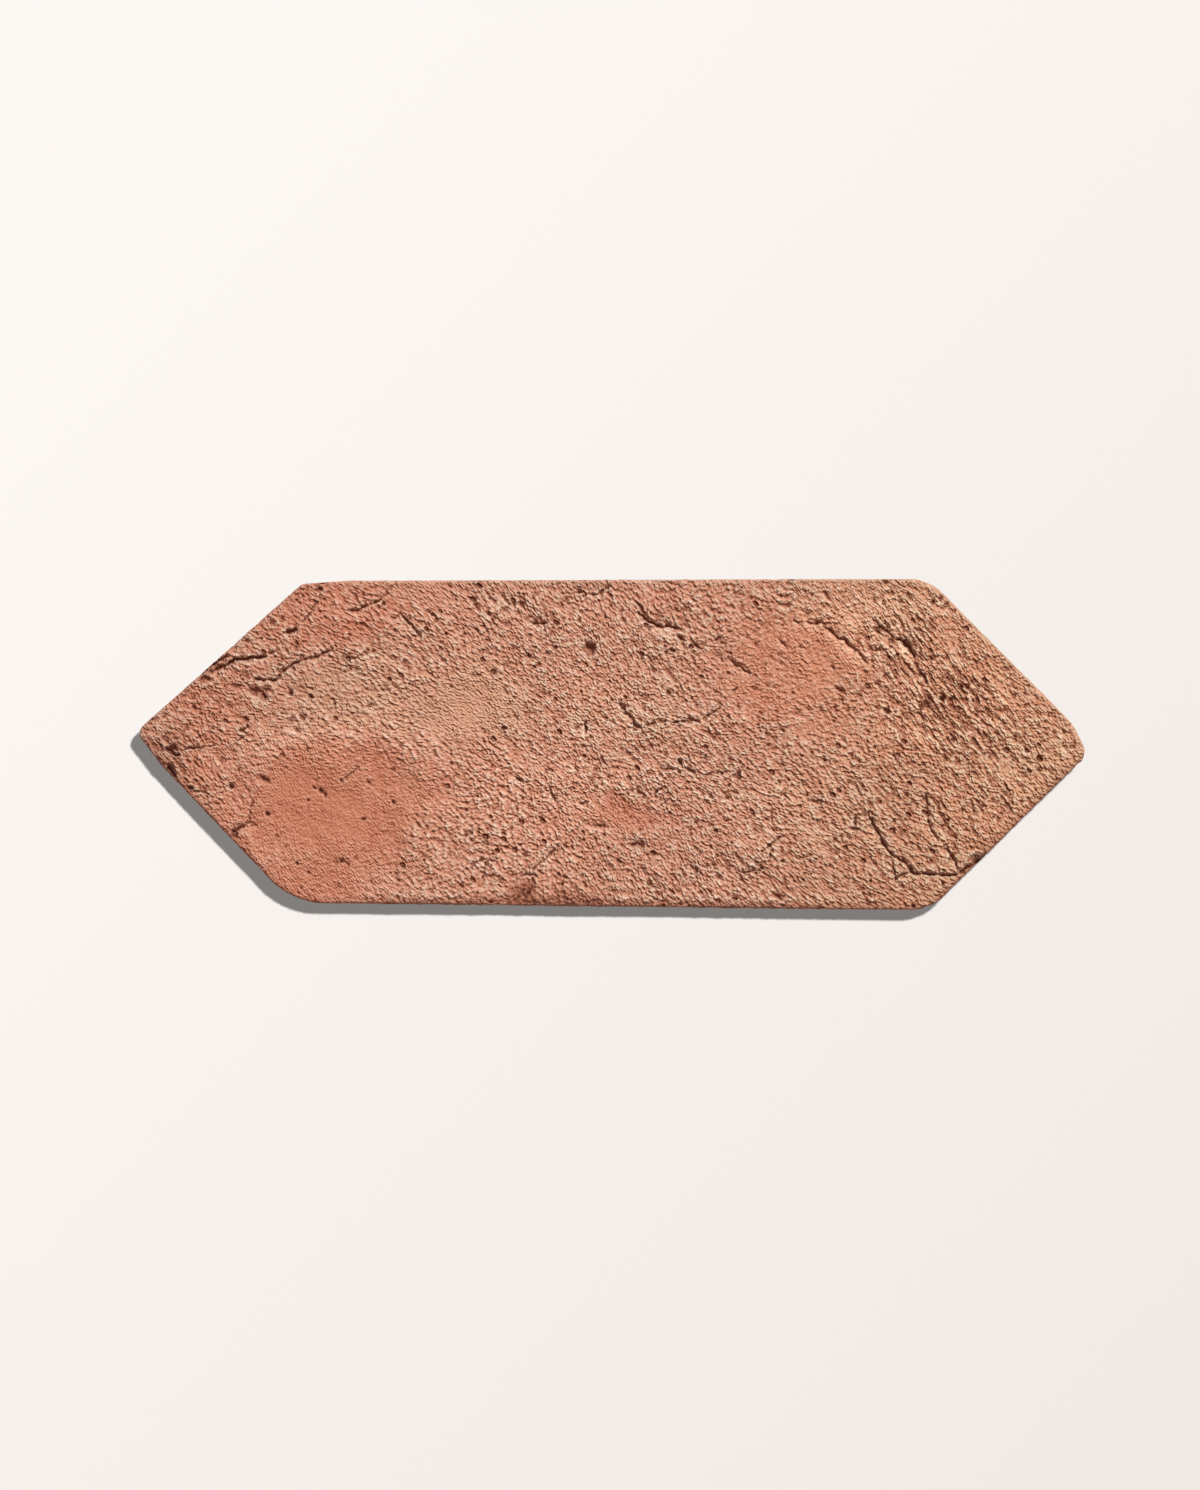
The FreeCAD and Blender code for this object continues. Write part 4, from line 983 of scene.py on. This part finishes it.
# %% Chips
CHIP_SEED = 3
CHIP_SPACING = 1.6
CHIP_GAPS = (0.6, 1.4)
CHIP_STRAY = 0.6
LEAST_STRAY = 0.1
LEAST_CHIP = 0.2
CHIP_LENGTHS = (0.8, 2.0)
CHIP_ROUNDNESS = (0.4, 0.8)
CHIP_TURN = 30


def chips_along(lines):
    """Marks of small chips broken out of the lips of the cracks."""
    random = np.random.default_rng(CHIP_SEED)
    chips = []
    for half_width, depth, line in lines:
        points = np.array(line, float)
        for start, step in zip(points, np.diff(points, axis=0)):
            length = math.hypot(*step)
            aside = np.array((-step[1], step[0])) / length
            along = random.uniform(0, CHIP_SPACING)
            while along < length:
                stray = random.normal(0, CHIP_STRAY * half_width + LEAST_STRAY)
                x, y = start + step * along / length + aside * stray
                half_length = LEAST_CHIP + half_width * random.uniform(*CHIP_LENGTHS)
                turn = math.degrees(math.atan2(step[1], step[0])) + random.normal(0, CHIP_TURN)
                chips.append((x, y, half_length, half_length * random.uniform(*CHIP_ROUNDNESS), turn))
                along += CHIP_SPACING * random.uniform(*CHIP_GAPS)
    return chips


chip_marks = chips_along(CRACKS)
chips = press_marks(ragged, chip_marks, deep_for_width=0.9)
sunk = np.maximum.reduce([dents, grooves, hollows, blowhole, chips, pits, slopes])
print(len(chip_marks), "chips")

# %% [markdown]
# ## Painting where each kind of relief goes
# A Displace modifier moves the skin, and a vertex group says how strongly in each place. So the groups
# are the sculptor's plan, painted from the marks, cracks and zones above.

# %% Vertex groups
DEEPEST_DENT = 2.0
SWELLING_FADE = 9.0
LEAST_SWELLING = 0.15
LUMP_SHARE = 0.5
SMOOTH_LUMPS_LESS = 0.45
FULL_GRAIN = 1.8
SMOOTH_GRAIN_LESS = 0.8
SIDE_RELIEF = 0.4
LEAST_WEIGHT = 0.002


def paint(piece, name, weights):
    """Makes a vertex group with these weights."""
    group = piece.vertex_groups.new(name=name)
    for index in np.flatnonzero(weights > LEAST_WEIGHT):
        group.add([int(index)], float(min(weights[index], 1)), "REPLACE")


from_rim = inside_rim(places)
side_share = SIDE_RELIEF + (1 - SIDE_RELIEF) * on_face
lumpy = np.clip(LUMP_SHARE - RED_FINER * red - SMOOTH_LUMPS_LESS * smooth, 0, 1)
grainy = coarseness / FULL_GRAIN * (1 - SMOOTH_GRAIN_LESS * smooth)
paint(tile, "cracks", np.maximum(crack, holes / DEEPEST) * on_face)
paint(tile, "lips", lip * on_face)
paint(tile, "sunk", sunk / DEEPEST_DENT * on_face)
paint(tile, "proud", proud_marks * on_face)
paint(tile, "swelling", on_face * np.clip(from_rim / SWELLING_FADE, LEAST_SWELLING, 1))
paint(tile, "lumps", lumpy * off_floor * side_share)
paint(tile, "grain", grainy * off_floor * side_share)
paint(tile, "leathery", crumbly * (1 - smooth) * on_face)
print("groups:", [group.name for group in tile.vertex_groups])

# %% [markdown]
# ## Carving
# Each kind of relief is one Displace modifier, applied before the next, from the broad swells of the
# pressed clay down to its grain. A turned and stretched empty gives the grain its slant: the clay was
# dragged from the upper left to the lower right when its top was struck off.

# %% Tools for carving
DRAG_ANGLE = math.radians(-43)
STEEP_DRAG_ANGLE = math.radians(-55)


def drag_guide(angle, stretch):
    """An empty that turns a texture to the drag of the clay and stretches it that way."""
    bpy.ops.object.empty_add(rotation=(0, 0, angle))
    guide = bpy.context.object
    guide.scale = (stretch, 1, 1)
    bpy.context.view_layer.update()
    return guide


def clay_texture(name, kind, size_mm, **settings):
    """A texture for a Displace modifier, whose grains are about this many millimetres across."""
    texture = bpy.data.textures.new(name, kind)
    texture.noise_scale = size_mm * MM
    for setting, value in settings.items():
        setattr(texture, setting, value)
    return texture


def carve(group, strength, texture=None, guide=None, middle=0.5, direction="NORMAL"):
    """Moves the skin by a texture, or evenly, as strongly as a vertex group says."""
    settings = {"vertex_group": group, "strength": strength * MM, "mid_level": middle, "direction": direction}
    if texture:
        settings["texture"] = texture
        settings["texture_coords"] = "OBJECT" if guide else "LOCAL"
        settings["texture_coords_object"] = guide
    apply_modifier(tile, "DISPLACE", **settings)


swells = clay_texture("swells", "CLOUDS", size_mm=14.0, noise_depth=2)
lumps = clay_texture("lumps", "CLOUDS", size_mm=4.4, noise_depth=1)
wrinkles = clay_texture("wrinkles", "CLOUDS", size_mm=2.2, noise_depth=1)
grain = clay_texture("grain", "CLOUDS", size_mm=1.3, noise_depth=1)
cells = clay_texture("cells", "VORONOI", size_mm=3.2, weight_1=-1.0, weight_2=1.0)
long_drag = drag_guide(DRAG_ANGLE, stretch=1.6)
short_drag = drag_guide(DRAG_ANGLE, stretch=1.2)
steep_drag = drag_guide(STEEP_DRAG_ANGLE, stretch=2.0)
print("textures:", [texture.name for texture in (swells, lumps, wrinkles, grain, cells)])

# %% [markdown]
# ## Relief
# The heights are in millimetres. The first five push the clay both up and down, and the last four only
# lift it or sink it, straight up or down, so that the cracks keep upright walls.

# %% Relief
SWELL_HEIGHT = 1.2
LUMP_HEIGHT = 0.40
WRINKLE_HEIGHT = 0.42
GRAIN_HEIGHT = 0.35
CELL_HEIGHT = 0.25
PROUD_HEIGHT = 1.0
LIP_FALL = 0.7
CRACK_FALL = 0.85 * DEEPEST

carve("swelling", SWELL_HEIGHT, swells, direction="Z")
carve("lumps", LUMP_HEIGHT, lumps, short_drag)
carve("grain", WRINKLE_HEIGHT, wrinkles, long_drag)
carve("grain", GRAIN_HEIGHT, grain, short_drag)
carve("leathery", CELL_HEIGHT, cells, steep_drag)
carve("proud", PROUD_HEIGHT, middle=0.0, direction="Z")
carve("sunk", -DEEPEST_DENT, middle=0.0, direction="Z")
carve("lips", -LIP_FALL, middle=0.0, direction="Z")
carve("cracks", -CRACK_FALL, middle=0.0, direction="Z")
for guide in (long_drag, short_drag, steep_drag):
    bpy.data.objects.remove(guide)
print("carved:", [round(v / MM, 2) for v in tile.dimensions], "mm")

# %% [markdown]
# ## Back into the drawing's box
# The grains that stand proud make the tile a little larger than the drawing. Its height is squeezed back,
# and the few grains that still reach past the drawing's box at the sides are pressed flat against it, as
# the wall of the frame did with the real ones.

# %% Squeeze


def squeeze():
    bpy.ops.mesh.select_all(action="SELECT")
    heights = places_of(tile)[:, 2] * MM
    ratio = (TILE_HIGH.z - TILE_LOW.z) / (heights.max() - heights.min())
    bpy.ops.transform.translate(value=(0, 0, TILE_LOW.z - heights.min()))
    bpy.ops.transform.resize(value=(1, 1, ratio), center_override=TILE_LOW)


edit(squeeze)
pressed = np.clip(places_of(tile) * MM, TILE_LOW, TILE_HIGH)
tile.data.vertices.foreach_set("co", pressed.ravel())
tile.data.update()
print("squeezed:", [round(v / MM, 2) for v in tile.dimensions], "mm")

# %% [markdown]
# ## Proud and sunken clay
# The colour of the clay depends on the relief: the high grains are paler, partly from dust and partly from a
# painted highlight, and the hollows are painted dark as painted shade.
# So each vertex is measured against its neighbourhood, whose mean is found by averaging along the edges a
# few times. Limits keep the lips of the cracks from turning chalky and their beds from turning black.

# %% Height above the neighbourhood
SMOOTHING_ROUNDS = 6
MOST_PROUD = 0.13
MOST_SUNK = 0.22


def neighbour_mean(values, edges, count):
    """The mean of the neighbours' values at each vertex."""
    total = np.zeros_like(values)
    np.add.at(total, edges[:, 0], values[edges[:, 1]])
    np.add.at(total, edges[:, 1], values[edges[:, 0]])
    return total / count[:, None]


carved = places_of(tile)
edges = np.empty(2 * len(tile.data.edges), np.int32)
tile.data.edges.foreach_get("vertices", edges)
edges = edges.reshape(-1, 2)
count = np.bincount(edges.ravel(), minlength=len(carved)).astype(float)
mean = carved
for _ in range(SMOOTHING_ROUNDS):
    mean = neighbour_mean(mean, edges, count)
proud = np.einsum("ij,ij->i", carved - mean, normals_of(tile))
print("proud of neighbours, mm:", np.round(np.percentile(proud, [2, 50, 98]), 3))
proud = np.clip(proud, -MOST_SUNK, MOST_PROUD)

# %% [markdown]
# ## Painted shade on the rim
# The edges of the tile are painted darker, as painted shade, most of all on the lower side, which is turned
# away from the light, and a few patches along the lower rim are darker still. The shade fades down the sides.

# %% Rim
RIM_LEAN = 0.25
RIM_SHARE = 0.9
RIM_REACH = 3.0
RIM_FADE = 0.6
RIM_FADE_DEPTH = 3
LIT_EDGES_FROM = 8.0
LIT_EDGE_SHARE = 0.5

below_face = FACE_HEIGHT / MM - places[:, 2]
# Painted shade along the rim: where the skin leans over the arris and close to the outline, fading down the
# sides.
leaning = np.clip((1 - uprightness) / RIM_LEAN, 0, 1)
near_rim = RIM_SHARE * np.clip(1 - from_rim / RIM_REACH, 0, 1)
rim_shade = np.maximum(leaning, near_rim) * (1 - RIM_FADE * np.clip(below_face / RIM_FADE_DEPTH, 0, 1))
# The painted shade is half as strong on the upper edges, which face the light.
rim_shade = rim_shade * np.clip(0.5 - places[:, 1] / LIT_EDGES_FROM / 2, LIT_EDGE_SHARE, 1)
# A few patches along the lower rim are painted darker still.
rim_shade = np.maximum(rim_shade, darker_rim_patches * on_face)
print("share of the skin that is rim:", round(float(rim_shade.mean()), 3))

# %% [markdown]
# ## What the material needs to know
# A material can't see the zones and marks, so each vertex keeps them as attributes: the relief, the kinds of
# clay, how coarse and how pale it is, the golden drift towards the right end, and the painted shade of the
# dents, cracks and rim.

# %% Attributes
GOLDEN_FROM = 30
GOLDEN_OVER = 70
PIT_DARKNESS = 0.9
DARK_DENT = 0.8
CRACK_DARKNESS = 1.15
HOLE_DARKNESS = 1.6
DARKEST_CRACK = 0.68

# The dents, grooves, blowhole, chips and pits get painted shade.
marked = np.maximum.reduce([dents, grooves, blowhole, chips, PIT_DARKNESS * pits])
# The cracks and holes get painted shade.
painted_crack_shade = CRACK_DARKNESS * np.maximum(crack, HOLE_DARKNESS * holes / DEEPEST)
attributes = {
    "proud_mm": proud,
    "smooth_patch": smooth,
    "red_clay": red,
    "sandy_clay": sandy,
    "coarseness": coarseness,
    "tone": tone,
    "golden": np.clip((drifting[:, 0] - GOLDEN_FROM) / GOLDEN_OVER, 0, 1),
    "crumbly": crumbly * on_face,
    "dent": np.clip(marked / DARK_DENT, 0, 1) * on_face,
    "rim_shade": rim_shade,
    "crack": np.clip(painted_crack_shade, 0, DARKEST_CRACK) * on_face,
}
for name, values in attributes.items():
    kept = tile.data.attributes.new(name, "FLOAT", "POINT")
    kept.data.foreach_set("value", values.astype(np.float32))
print("attributes:", list(attributes))

# %% [markdown]
# ## The fired clay
# Terracotta is matt and never one colour: red where the surface was rubbed closed, paler and sandier where it
# is open, with painted shade, dark brown-red, in the hollows. A material is a tree of nodes. Each of these
# helpers adds one and links it, so that the cells after this read like sums.

# %% Shader helpers


def add_node(tree, kind, values=None, **settings):
    """Adds a shader node, sets its properties, and fills or links its inputs."""
    made = tree.nodes.new(kind)
    for name, value in settings.items():
        setattr(made, name, value)
    for name, value in (values or {}).items():
        if isinstance(value, bpy.types.NodeSocket):
            tree.links.new(value, made.inputs[name])
        else:
            made.inputs[name].default_value = value
    return made


def math_node(tree, operation, *values):
    return add_node(tree, "ShaderNodeMath", dict(enumerate(values)), operation=operation).outputs[0]


def mix_colour(tree, share, first, second, blend="MIX"):
    values = {0: share, 6: first, 7: second}
    return add_node(tree, "ShaderNodeMix", values, data_type="RGBA", blend_type=blend).outputs[2]


def mix_value(tree, share, first, second):
    return add_node(tree, "ShaderNodeMix", {0: share, 2: first, 3: second}, data_type="FLOAT").outputs[0]


def ranged(tree, value, low, high, new_low=0.0, new_high=1.0):
    made = add_node(tree, "ShaderNodeMapRange", {0: value, 1: low, 2: high, 3: new_low, 4: new_high})
    made.interpolation_type = "SMOOTHSTEP"
    return made.outputs[0]


def attribute(tree, name):
    return add_node(tree, "ShaderNodeAttribute", attribute_name=name).outputs["Fac"]


# %% [markdown]
# ## Grain finer than the skin
# Grains under a millimetre are too small for the skin's faces, so they are a bump, which tilts the light
# as if the surface rose and fell. Noise gives the streaks of the drag, round cells the sand, and oval
# dimples the places where grains fell out. Smooth patches have little sand and few dimples. The pairs of
# shares below are for open clay and for smooth or red clay.

# %% Fine relief
FINE_GRAIN = 0.62
COARSE_GRAIN = 1.25
GRAIN_STRETCH = 1.25
STEEP_STRETCH = 3.0
SAND_SPACING = 1.15
SAND_FALL = 0.8
SAND_TOP = 0.94
SAND_SHARES = (0.6, 0.15)
COARSE_SHARES = (0.6, 0.45)
FINE_SHARES = (0.5, 0.65)


def clay_noise(tree, place, size_mm, detail, roughness=0.55):
    """Noise whose largest grains are about this many millimetres across."""
    made = add_node(tree, "ShaderNodeTexNoise", {
        "Vector": place, "Scale": 1 / (size_mm * MM), "Detail": detail, "Roughness": roughness})
    return made.outputs["Fac"]


def dragged_along(tree, place, angle, stretch):
    """The place turned to a drag of the clay and stretched that way."""
    turned = {"Vector": place, "Rotation": (0, 0, angle), "Scale": (stretch, 1, 1)}
    return add_node(tree, "ShaderNodeMapping", turned, vector_type="TEXTURE").outputs[0]


def clay_streaks(tree, dragged, steeply):
    """The height of the sand and the streaks, which are steeper where the clay is crumbly."""
    smooth_patch = attribute(tree, "smooth_patch")
    coarse = clay_noise(tree, dragged, COARSE_GRAIN, 1.0)
    steep = clay_noise(tree, steeply, COARSE_GRAIN, 1.0)
    change = math_node(tree, "SUBTRACT", steep, coarse)
    coarse = math_node(tree, "MULTIPLY_ADD", attribute(tree, "crumbly"), change, coarse)
    coarse = math_node(tree, "MULTIPLY", coarse, ranged(tree, smooth_patch, 0.0, 1.0, *COARSE_SHARES))
    grains = add_node(tree, "ShaderNodeTexVoronoi", {"Vector": dragged, "Scale": 1 / (SAND_SPACING * MM)})
    sand = math_node(tree, "MULTIPLY_ADD", grains.outputs["Distance"], -SAND_FALL, SAND_TOP)
    fine = clay_noise(tree, dragged, FINE_GRAIN, 0.0)
    fine = mix_value(tree, ranged(tree, smooth_patch, 0.0, 1.0, *SAND_SHARES), fine, sand)
    fine = math_node(tree, "MULTIPLY", fine, ranged(tree, smooth_patch, 0.0, 1.0, *FINE_SHARES))
    return math_node(tree, "ADD", coarse, fine)


# %% [markdown]
# ## Dimples
# A Voronoi texture scatters points over the clay and tells how far each spot is from the nearest one, which
# makes a round dimple. Its random colour decides whether a point has a dimple at all and how large it is.
# Small dimples are everywhere in the open clay, larger pocks are rarer, and long furrows belong to the
# crumbly parts.

# %% Dimples
DIMPLES = {"spacing_mm": 2.0, "share": 0.7, "least_size": 0.14, "size_range": 0.20, "flat": 0.1}
POCKS = {"spacing_mm": 4.0, "share": 0.6, "least_size": 0.10, "size_range": 0.18, "flat": 0.4}
FURROWS = {"spacing_mm": 2.0, "share": 0.9, "least_size": 0.25, "size_range": 0.20, "flat": 0.1}
POCK_DEPTH = 1.5
FURROW_DEPTH = 1.25
DIMPLE_FALL = 0.36
SMOOTH_CLOSES = 0.75
RED_OPENNESS = (1.0, 0.65)


def dimples(tree, place, spacing_mm, share, least_size, size_range, flat):
    """Small oval dimples of many sizes: 1 on the flat of each and 0 between them."""
    cells = add_node(tree, "ShaderNodeTexVoronoi", {"Vector": place, "Scale": 1 / (spacing_mm * MM)})
    chance = add_node(tree, "ShaderNodeSeparateColor", {0: cells.outputs["Color"]})
    size = math_node(tree, "MULTIPLY_ADD", chance.outputs["Green"], size_range, least_size)
    reach = math_node(tree, "DIVIDE", cells.outputs["Distance"], size)
    there = math_node(tree, "LESS_THAN", chance.outputs["Red"], share)
    return math_node(tree, "MULTIPLY", ranged(tree, reach, 1.0, flat), there)


def clay_openness(tree):
    """How open the clay is: less in smooth patches and in red clay."""
    open_clay = math_node(tree, "MULTIPLY_ADD", attribute(tree, "smooth_patch"), -SMOOTH_CLOSES, 1.0)
    red_share = ranged(tree, attribute(tree, "red_clay"), 0.0, 1.0, *RED_OPENNESS)
    return math_node(tree, "MULTIPLY", open_clay, red_share)


def clay_height(tree, place, open_clay):
    """The height of the fine grain, with its dimples, pocks and furrows pressed in."""
    dragged = dragged_along(tree, place, DRAG_ANGLE, GRAIN_STRETCH)
    steeply = dragged_along(tree, place, STEEP_DRAG_ANGLE, STEEP_STRETCH)
    pock = math_node(tree, "MULTIPLY", dimples(tree, dragged, **POCKS), POCK_DEPTH)
    dimple = math_node(tree, "MAXIMUM", dimples(tree, dragged, **DIMPLES), pock)
    furrow = math_node(tree, "MULTIPLY", dimples(tree, steeply, **FURROWS), FURROW_DEPTH)
    furrow = math_node(tree, "MULTIPLY", furrow, attribute(tree, "crumbly"))
    pressed_in = math_node(tree, "MAXIMUM", math_node(tree, "MULTIPLY", dimple, open_clay), furrow)
    return math_node(tree, "MULTIPLY_ADD", pressed_in, -DIMPLE_FALL, clay_streaks(tree, dragged, steeply))


# %% [markdown]
# ## Colour
# The colour is mixed in layers, as a painter would glaze it: brown clay, drifting to red and to sand in
# blotches, then pale dust and a painted highlight on the high grains, then painted shade in the hollows,
# dents, rim and cracks, and last the slow changes of tone.

# %% Colours of the clay
RED_CLAY = (0.540, 0.211, 0.118, 1)
BROWN_CLAY = (0.595, 0.282, 0.174, 1)
SANDY_CLAY = (0.625, 0.348, 0.216, 1)
# A pale colour for dust and painted highlight on the high grains.
DUST_AND_HIGHLIGHT_CLAY = (0.745, 0.600, 0.460, 1)
# The colour of the painted shade in the hollows, dents and rim.
HOLLOW_SHADE_CLAY = (0.245, 0.080, 0.043, 1)
# The colour of the painted shade in the cracks.
CRACK_SHADE_CLAY = (0.140, 0.041, 0.024, 1)
GOLDEN_TINT = (1.0, 1.0, 0.91, 1)
BLOTCH_SIZE = 14.0
BLOTCH_DETAIL = 4.0
BLOTCH_ROUGHNESS = 0.65
BLOTCH_DRIFT = 1.2
PROUD_SHARE = 1.2
DUST_AND_HIGHLIGHT_LEVELS = (0.46, 0.90)
SHADED_HOLLOW_LEVELS = (0.52, 0.14)
DENT_DARKNESS = 0.45
RIM_DARKNESS = 0.6


def clay_colour(tree, place, height, open_clay):
    blotches = clay_noise(tree, place, BLOTCH_SIZE, BLOTCH_DETAIL, BLOTCH_ROUGHNESS)
    drift = math_node(tree, "MULTIPLY", math_node(tree, "SUBTRACT", blotches, 0.5), BLOTCH_DRIFT)
    redness = math_node(tree, "ADD", attribute(tree, "red_clay"), drift)
    sandiness = math_node(tree, "SUBTRACT", attribute(tree, "sandy_clay"), drift)
    colour = mix_colour(tree, ranged(tree, redness, 0.0, 1.0), BROWN_CLAY, RED_CLAY)
    colour = mix_colour(tree, ranged(tree, sandiness, 0.0, 1.0), colour, SANDY_CLAY)

    level = math_node(tree, "MULTIPLY_ADD", attribute(tree, "proud_mm"), PROUD_SHARE, height)
    rim_shade = attribute(tree, "rim_shade")
    # The high grains get pale dust and a painted highlight.
    dust_and_highlight = math_node(tree, "MULTIPLY", ranged(tree, level, *DUST_AND_HIGHLIGHT_LEVELS), open_clay)
    dust_and_highlight = math_node(tree, "MULTIPLY", dust_and_highlight, math_node(tree, "SUBTRACT", 1.0, rim_shade))
    # Painted shade in the dents.
    dent = math_node(tree, "MULTIPLY", attribute(tree, "dent"), DENT_DARKNESS)
    # Painted shade on the rim.
    shaded_rim = math_node(tree, "MULTIPLY", rim_shade, RIM_DARKNESS)
    colour = mix_colour(tree, dust_and_highlight, colour, DUST_AND_HIGHLIGHT_CLAY)
    # Painted shade in the low places of the relief.
    colour = mix_colour(tree, ranged(tree, level, *SHADED_HOLLOW_LEVELS), colour, HOLLOW_SHADE_CLAY)
    colour = mix_colour(tree, dent, colour, HOLLOW_SHADE_CLAY)
    colour = mix_colour(tree, shaded_rim, colour, HOLLOW_SHADE_CLAY)
    # Painted shade in the cracks and holes.
    colour = mix_colour(tree, attribute(tree, "crack"), colour, CRACK_SHADE_CLAY)
    colour = mix_colour(tree, 1.0, colour, attribute(tree, "tone"), "MULTIPLY")
    return mix_colour(tree, attribute(tree, "golden"), colour, GOLDEN_TINT, "MULTIPLY")


# %% [markdown]
# ## Putting the material on
# The parts come together in one material: the colour, the bump, which is stronger in coarse clay, and the
# faint sheen of fired clay.

# %% Terracotta material
BUMP_DEPTH = 2.35 * MM
CLAY_ROUGHNESS = 0.55
CLAY_SHEEN = 0.35


def make_terracotta():
    material = bpy.data.materials.new("terracotta")
    material.use_nodes = True
    tree = material.node_tree
    shader = tree.nodes["Principled BSDF"]
    place = add_node(tree, "ShaderNodeTexCoord").outputs["Object"]
    open_clay = clay_openness(tree)
    height = clay_height(tree, place, open_clay)
    tree.links.new(clay_colour(tree, place, height, open_clay), shader.inputs["Base Color"])
    bump_height = math_node(tree, "MULTIPLY", height, attribute(tree, "coarseness"))
    bump = add_node(tree, "ShaderNodeBump", {"Strength": 1.0, "Distance": BUMP_DEPTH, "Height": bump_height})
    tree.links.new(bump.outputs[0], shader.inputs["Normal"])
    shader.inputs["Roughness"].default_value = CLAY_ROUGHNESS
    shader.inputs["Specular IOR Level"].default_value = CLAY_SHEEN
    return material


tile.data.materials.append(make_terracotta())
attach(tile, "root")
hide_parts("terracotta_tile")
print("material:", tile.data.materials[0].name, "with", len(tile.data.materials[0].node_tree.nodes), "nodes")

# %% [markdown]
# ## Floor
# The photograph has a warm white ground that darkens slightly from the upper left to the lower right, as the
# light falls off. A plane with a blend of two colours along that diagonal paints this fall-off of the light
# into its colour. Light that bounces off the tile is kept from the ground, because the photograph's ground
# has no red glow beside the tile.

# %% Floor
FLOOR_HALF = 6.0
# The two colours paint the fall-off of the light across the ground.
FLOOR_UPPER_LEFT = (0.930, 0.890, 0.860, 1)
FLOOR_LOWER_RIGHT = (0.829, 0.770, 0.736, 1)
FADE_DIRECTION = (0.707, -0.707, 0)
FADE_START = -0.219
FADE_END = 0.281


def make_floor_paint():
    material = bpy.data.materials.new("warm_white_ground")
    material.use_nodes = True
    tree = material.node_tree
    shader = tree.nodes["Principled BSDF"]
    place = add_node(tree, "ShaderNodeTexCoord").outputs["Object"]
    across = add_node(tree, "ShaderNodeVectorMath", {0: place, 1: FADE_DIRECTION}, operation="DOT_PRODUCT")
    fade = add_node(tree, "ShaderNodeMapRange", {0: across.outputs["Value"], 1: FADE_START, 2: FADE_END})
    colour = mix_colour(tree, fade.outputs[0], FLOOR_UPPER_LEFT, FLOOR_LOWER_RIGHT)
    tree.links.new(colour, shader.inputs["Base Color"])
    shader.inputs["Roughness"].default_value = 1.0
    shader.inputs["Specular IOR Level"].default_value = 0.0
    return material


bpy.ops.object.select_all(action="DESELECT")
bpy.ops.mesh.primitive_plane_add(size=2 * FLOOR_HALF, location=(0, 0, 0))
floor = bpy.context.object
floor.name = "ground"
floor.data.materials.append(make_floor_paint())
tile.visible_diffuse = False
print("floor:", floor.name, "with", floor.data.materials[0].name)

# %% [markdown]
# ## Light
# A low light from the upper right rakes over the relief, and yet the shadow is short and crisp. A light
# that is low enough to rake would cast a long shadow, so the tile and the floor have suns of their own, by
# light linking. Each sun has its azimuth from +X and its elevation in degrees, its strength, its softness
# in degrees, and what it lights.

# %% Lights
SUNS = {
    "raking_key": (61, 38, 3.83, 4.0, tile),
    "sky_fill": (0, 90, 0.85, 150.0, tile),
    "shadow_key": (49, 72.4, 2.64, 3.0, floor),
    "ground_fill": (0, 90, 0.72, 10.0, floor),
}
WARM_FILL = (1.0, 0.46, 0.33)


def sun(name, azimuth, elevation, strength, softness, shines_on):
    """A sun that lights one object only."""
    around = math.radians(azimuth)
    up = math.radians(elevation)
    towards = Vector((math.cos(around) * math.cos(up), math.sin(around) * math.cos(up), math.sin(up)))
    bpy.ops.object.light_add(type="SUN", location=towards)
    light = bpy.context.object
    light.name = name
    light.rotation_euler = towards.to_track_quat("Z", "Y").to_euler()
    light.data.energy = strength
    light.data.angle = math.radians(softness)
    lit = bpy.data.collections.new(f"lit_by_{name}")
    lit.objects.link(shines_on)
    light.light_linking.receiver_collection = lit
    return light


suns = {name: sun(name, *values) for name, values in SUNS.items()}
suns["sky_fill"].data.color = WARM_FILL
suns["ground_fill"].data.use_shadow = False
print("lights:", list(suns))

# %% [markdown]
# ## The room
# The world is bright where the camera sees it, past the edge of the floor, but gives hardly any light, so
# that the suns alone shade the relief. The Standard view keeps the colours as they were measured.

# %% World
ROOM_COLOUR = (1.0, 0.98, 0.96, 1)
SEEN_BRIGHTNESS = 0.90
ROOM_LIGHT = 0.02

world = bpy.data.worlds.new("pale_room")
bpy.context.scene.world = world
world.use_nodes = True
background = world.node_tree.nodes["Background"]
seen = add_node(world.node_tree, "ShaderNodeLightPath").outputs["Is Camera Ray"]
brightness = math_node(world.node_tree, "MULTIPLY_ADD", seen, SEEN_BRIGHTNESS, ROOM_LIGHT)
world.node_tree.links.new(brightness, background.inputs["Strength"])
background.inputs["Color"].default_value = ROOM_COLOUR
bpy.context.scene.view_settings.view_transform = "Standard"
print("world:", world.name)

# %% Triangles of the tile
print("triangles of the tile:", sum(len(face.vertices) - 2 for face in tile.data.polygons))
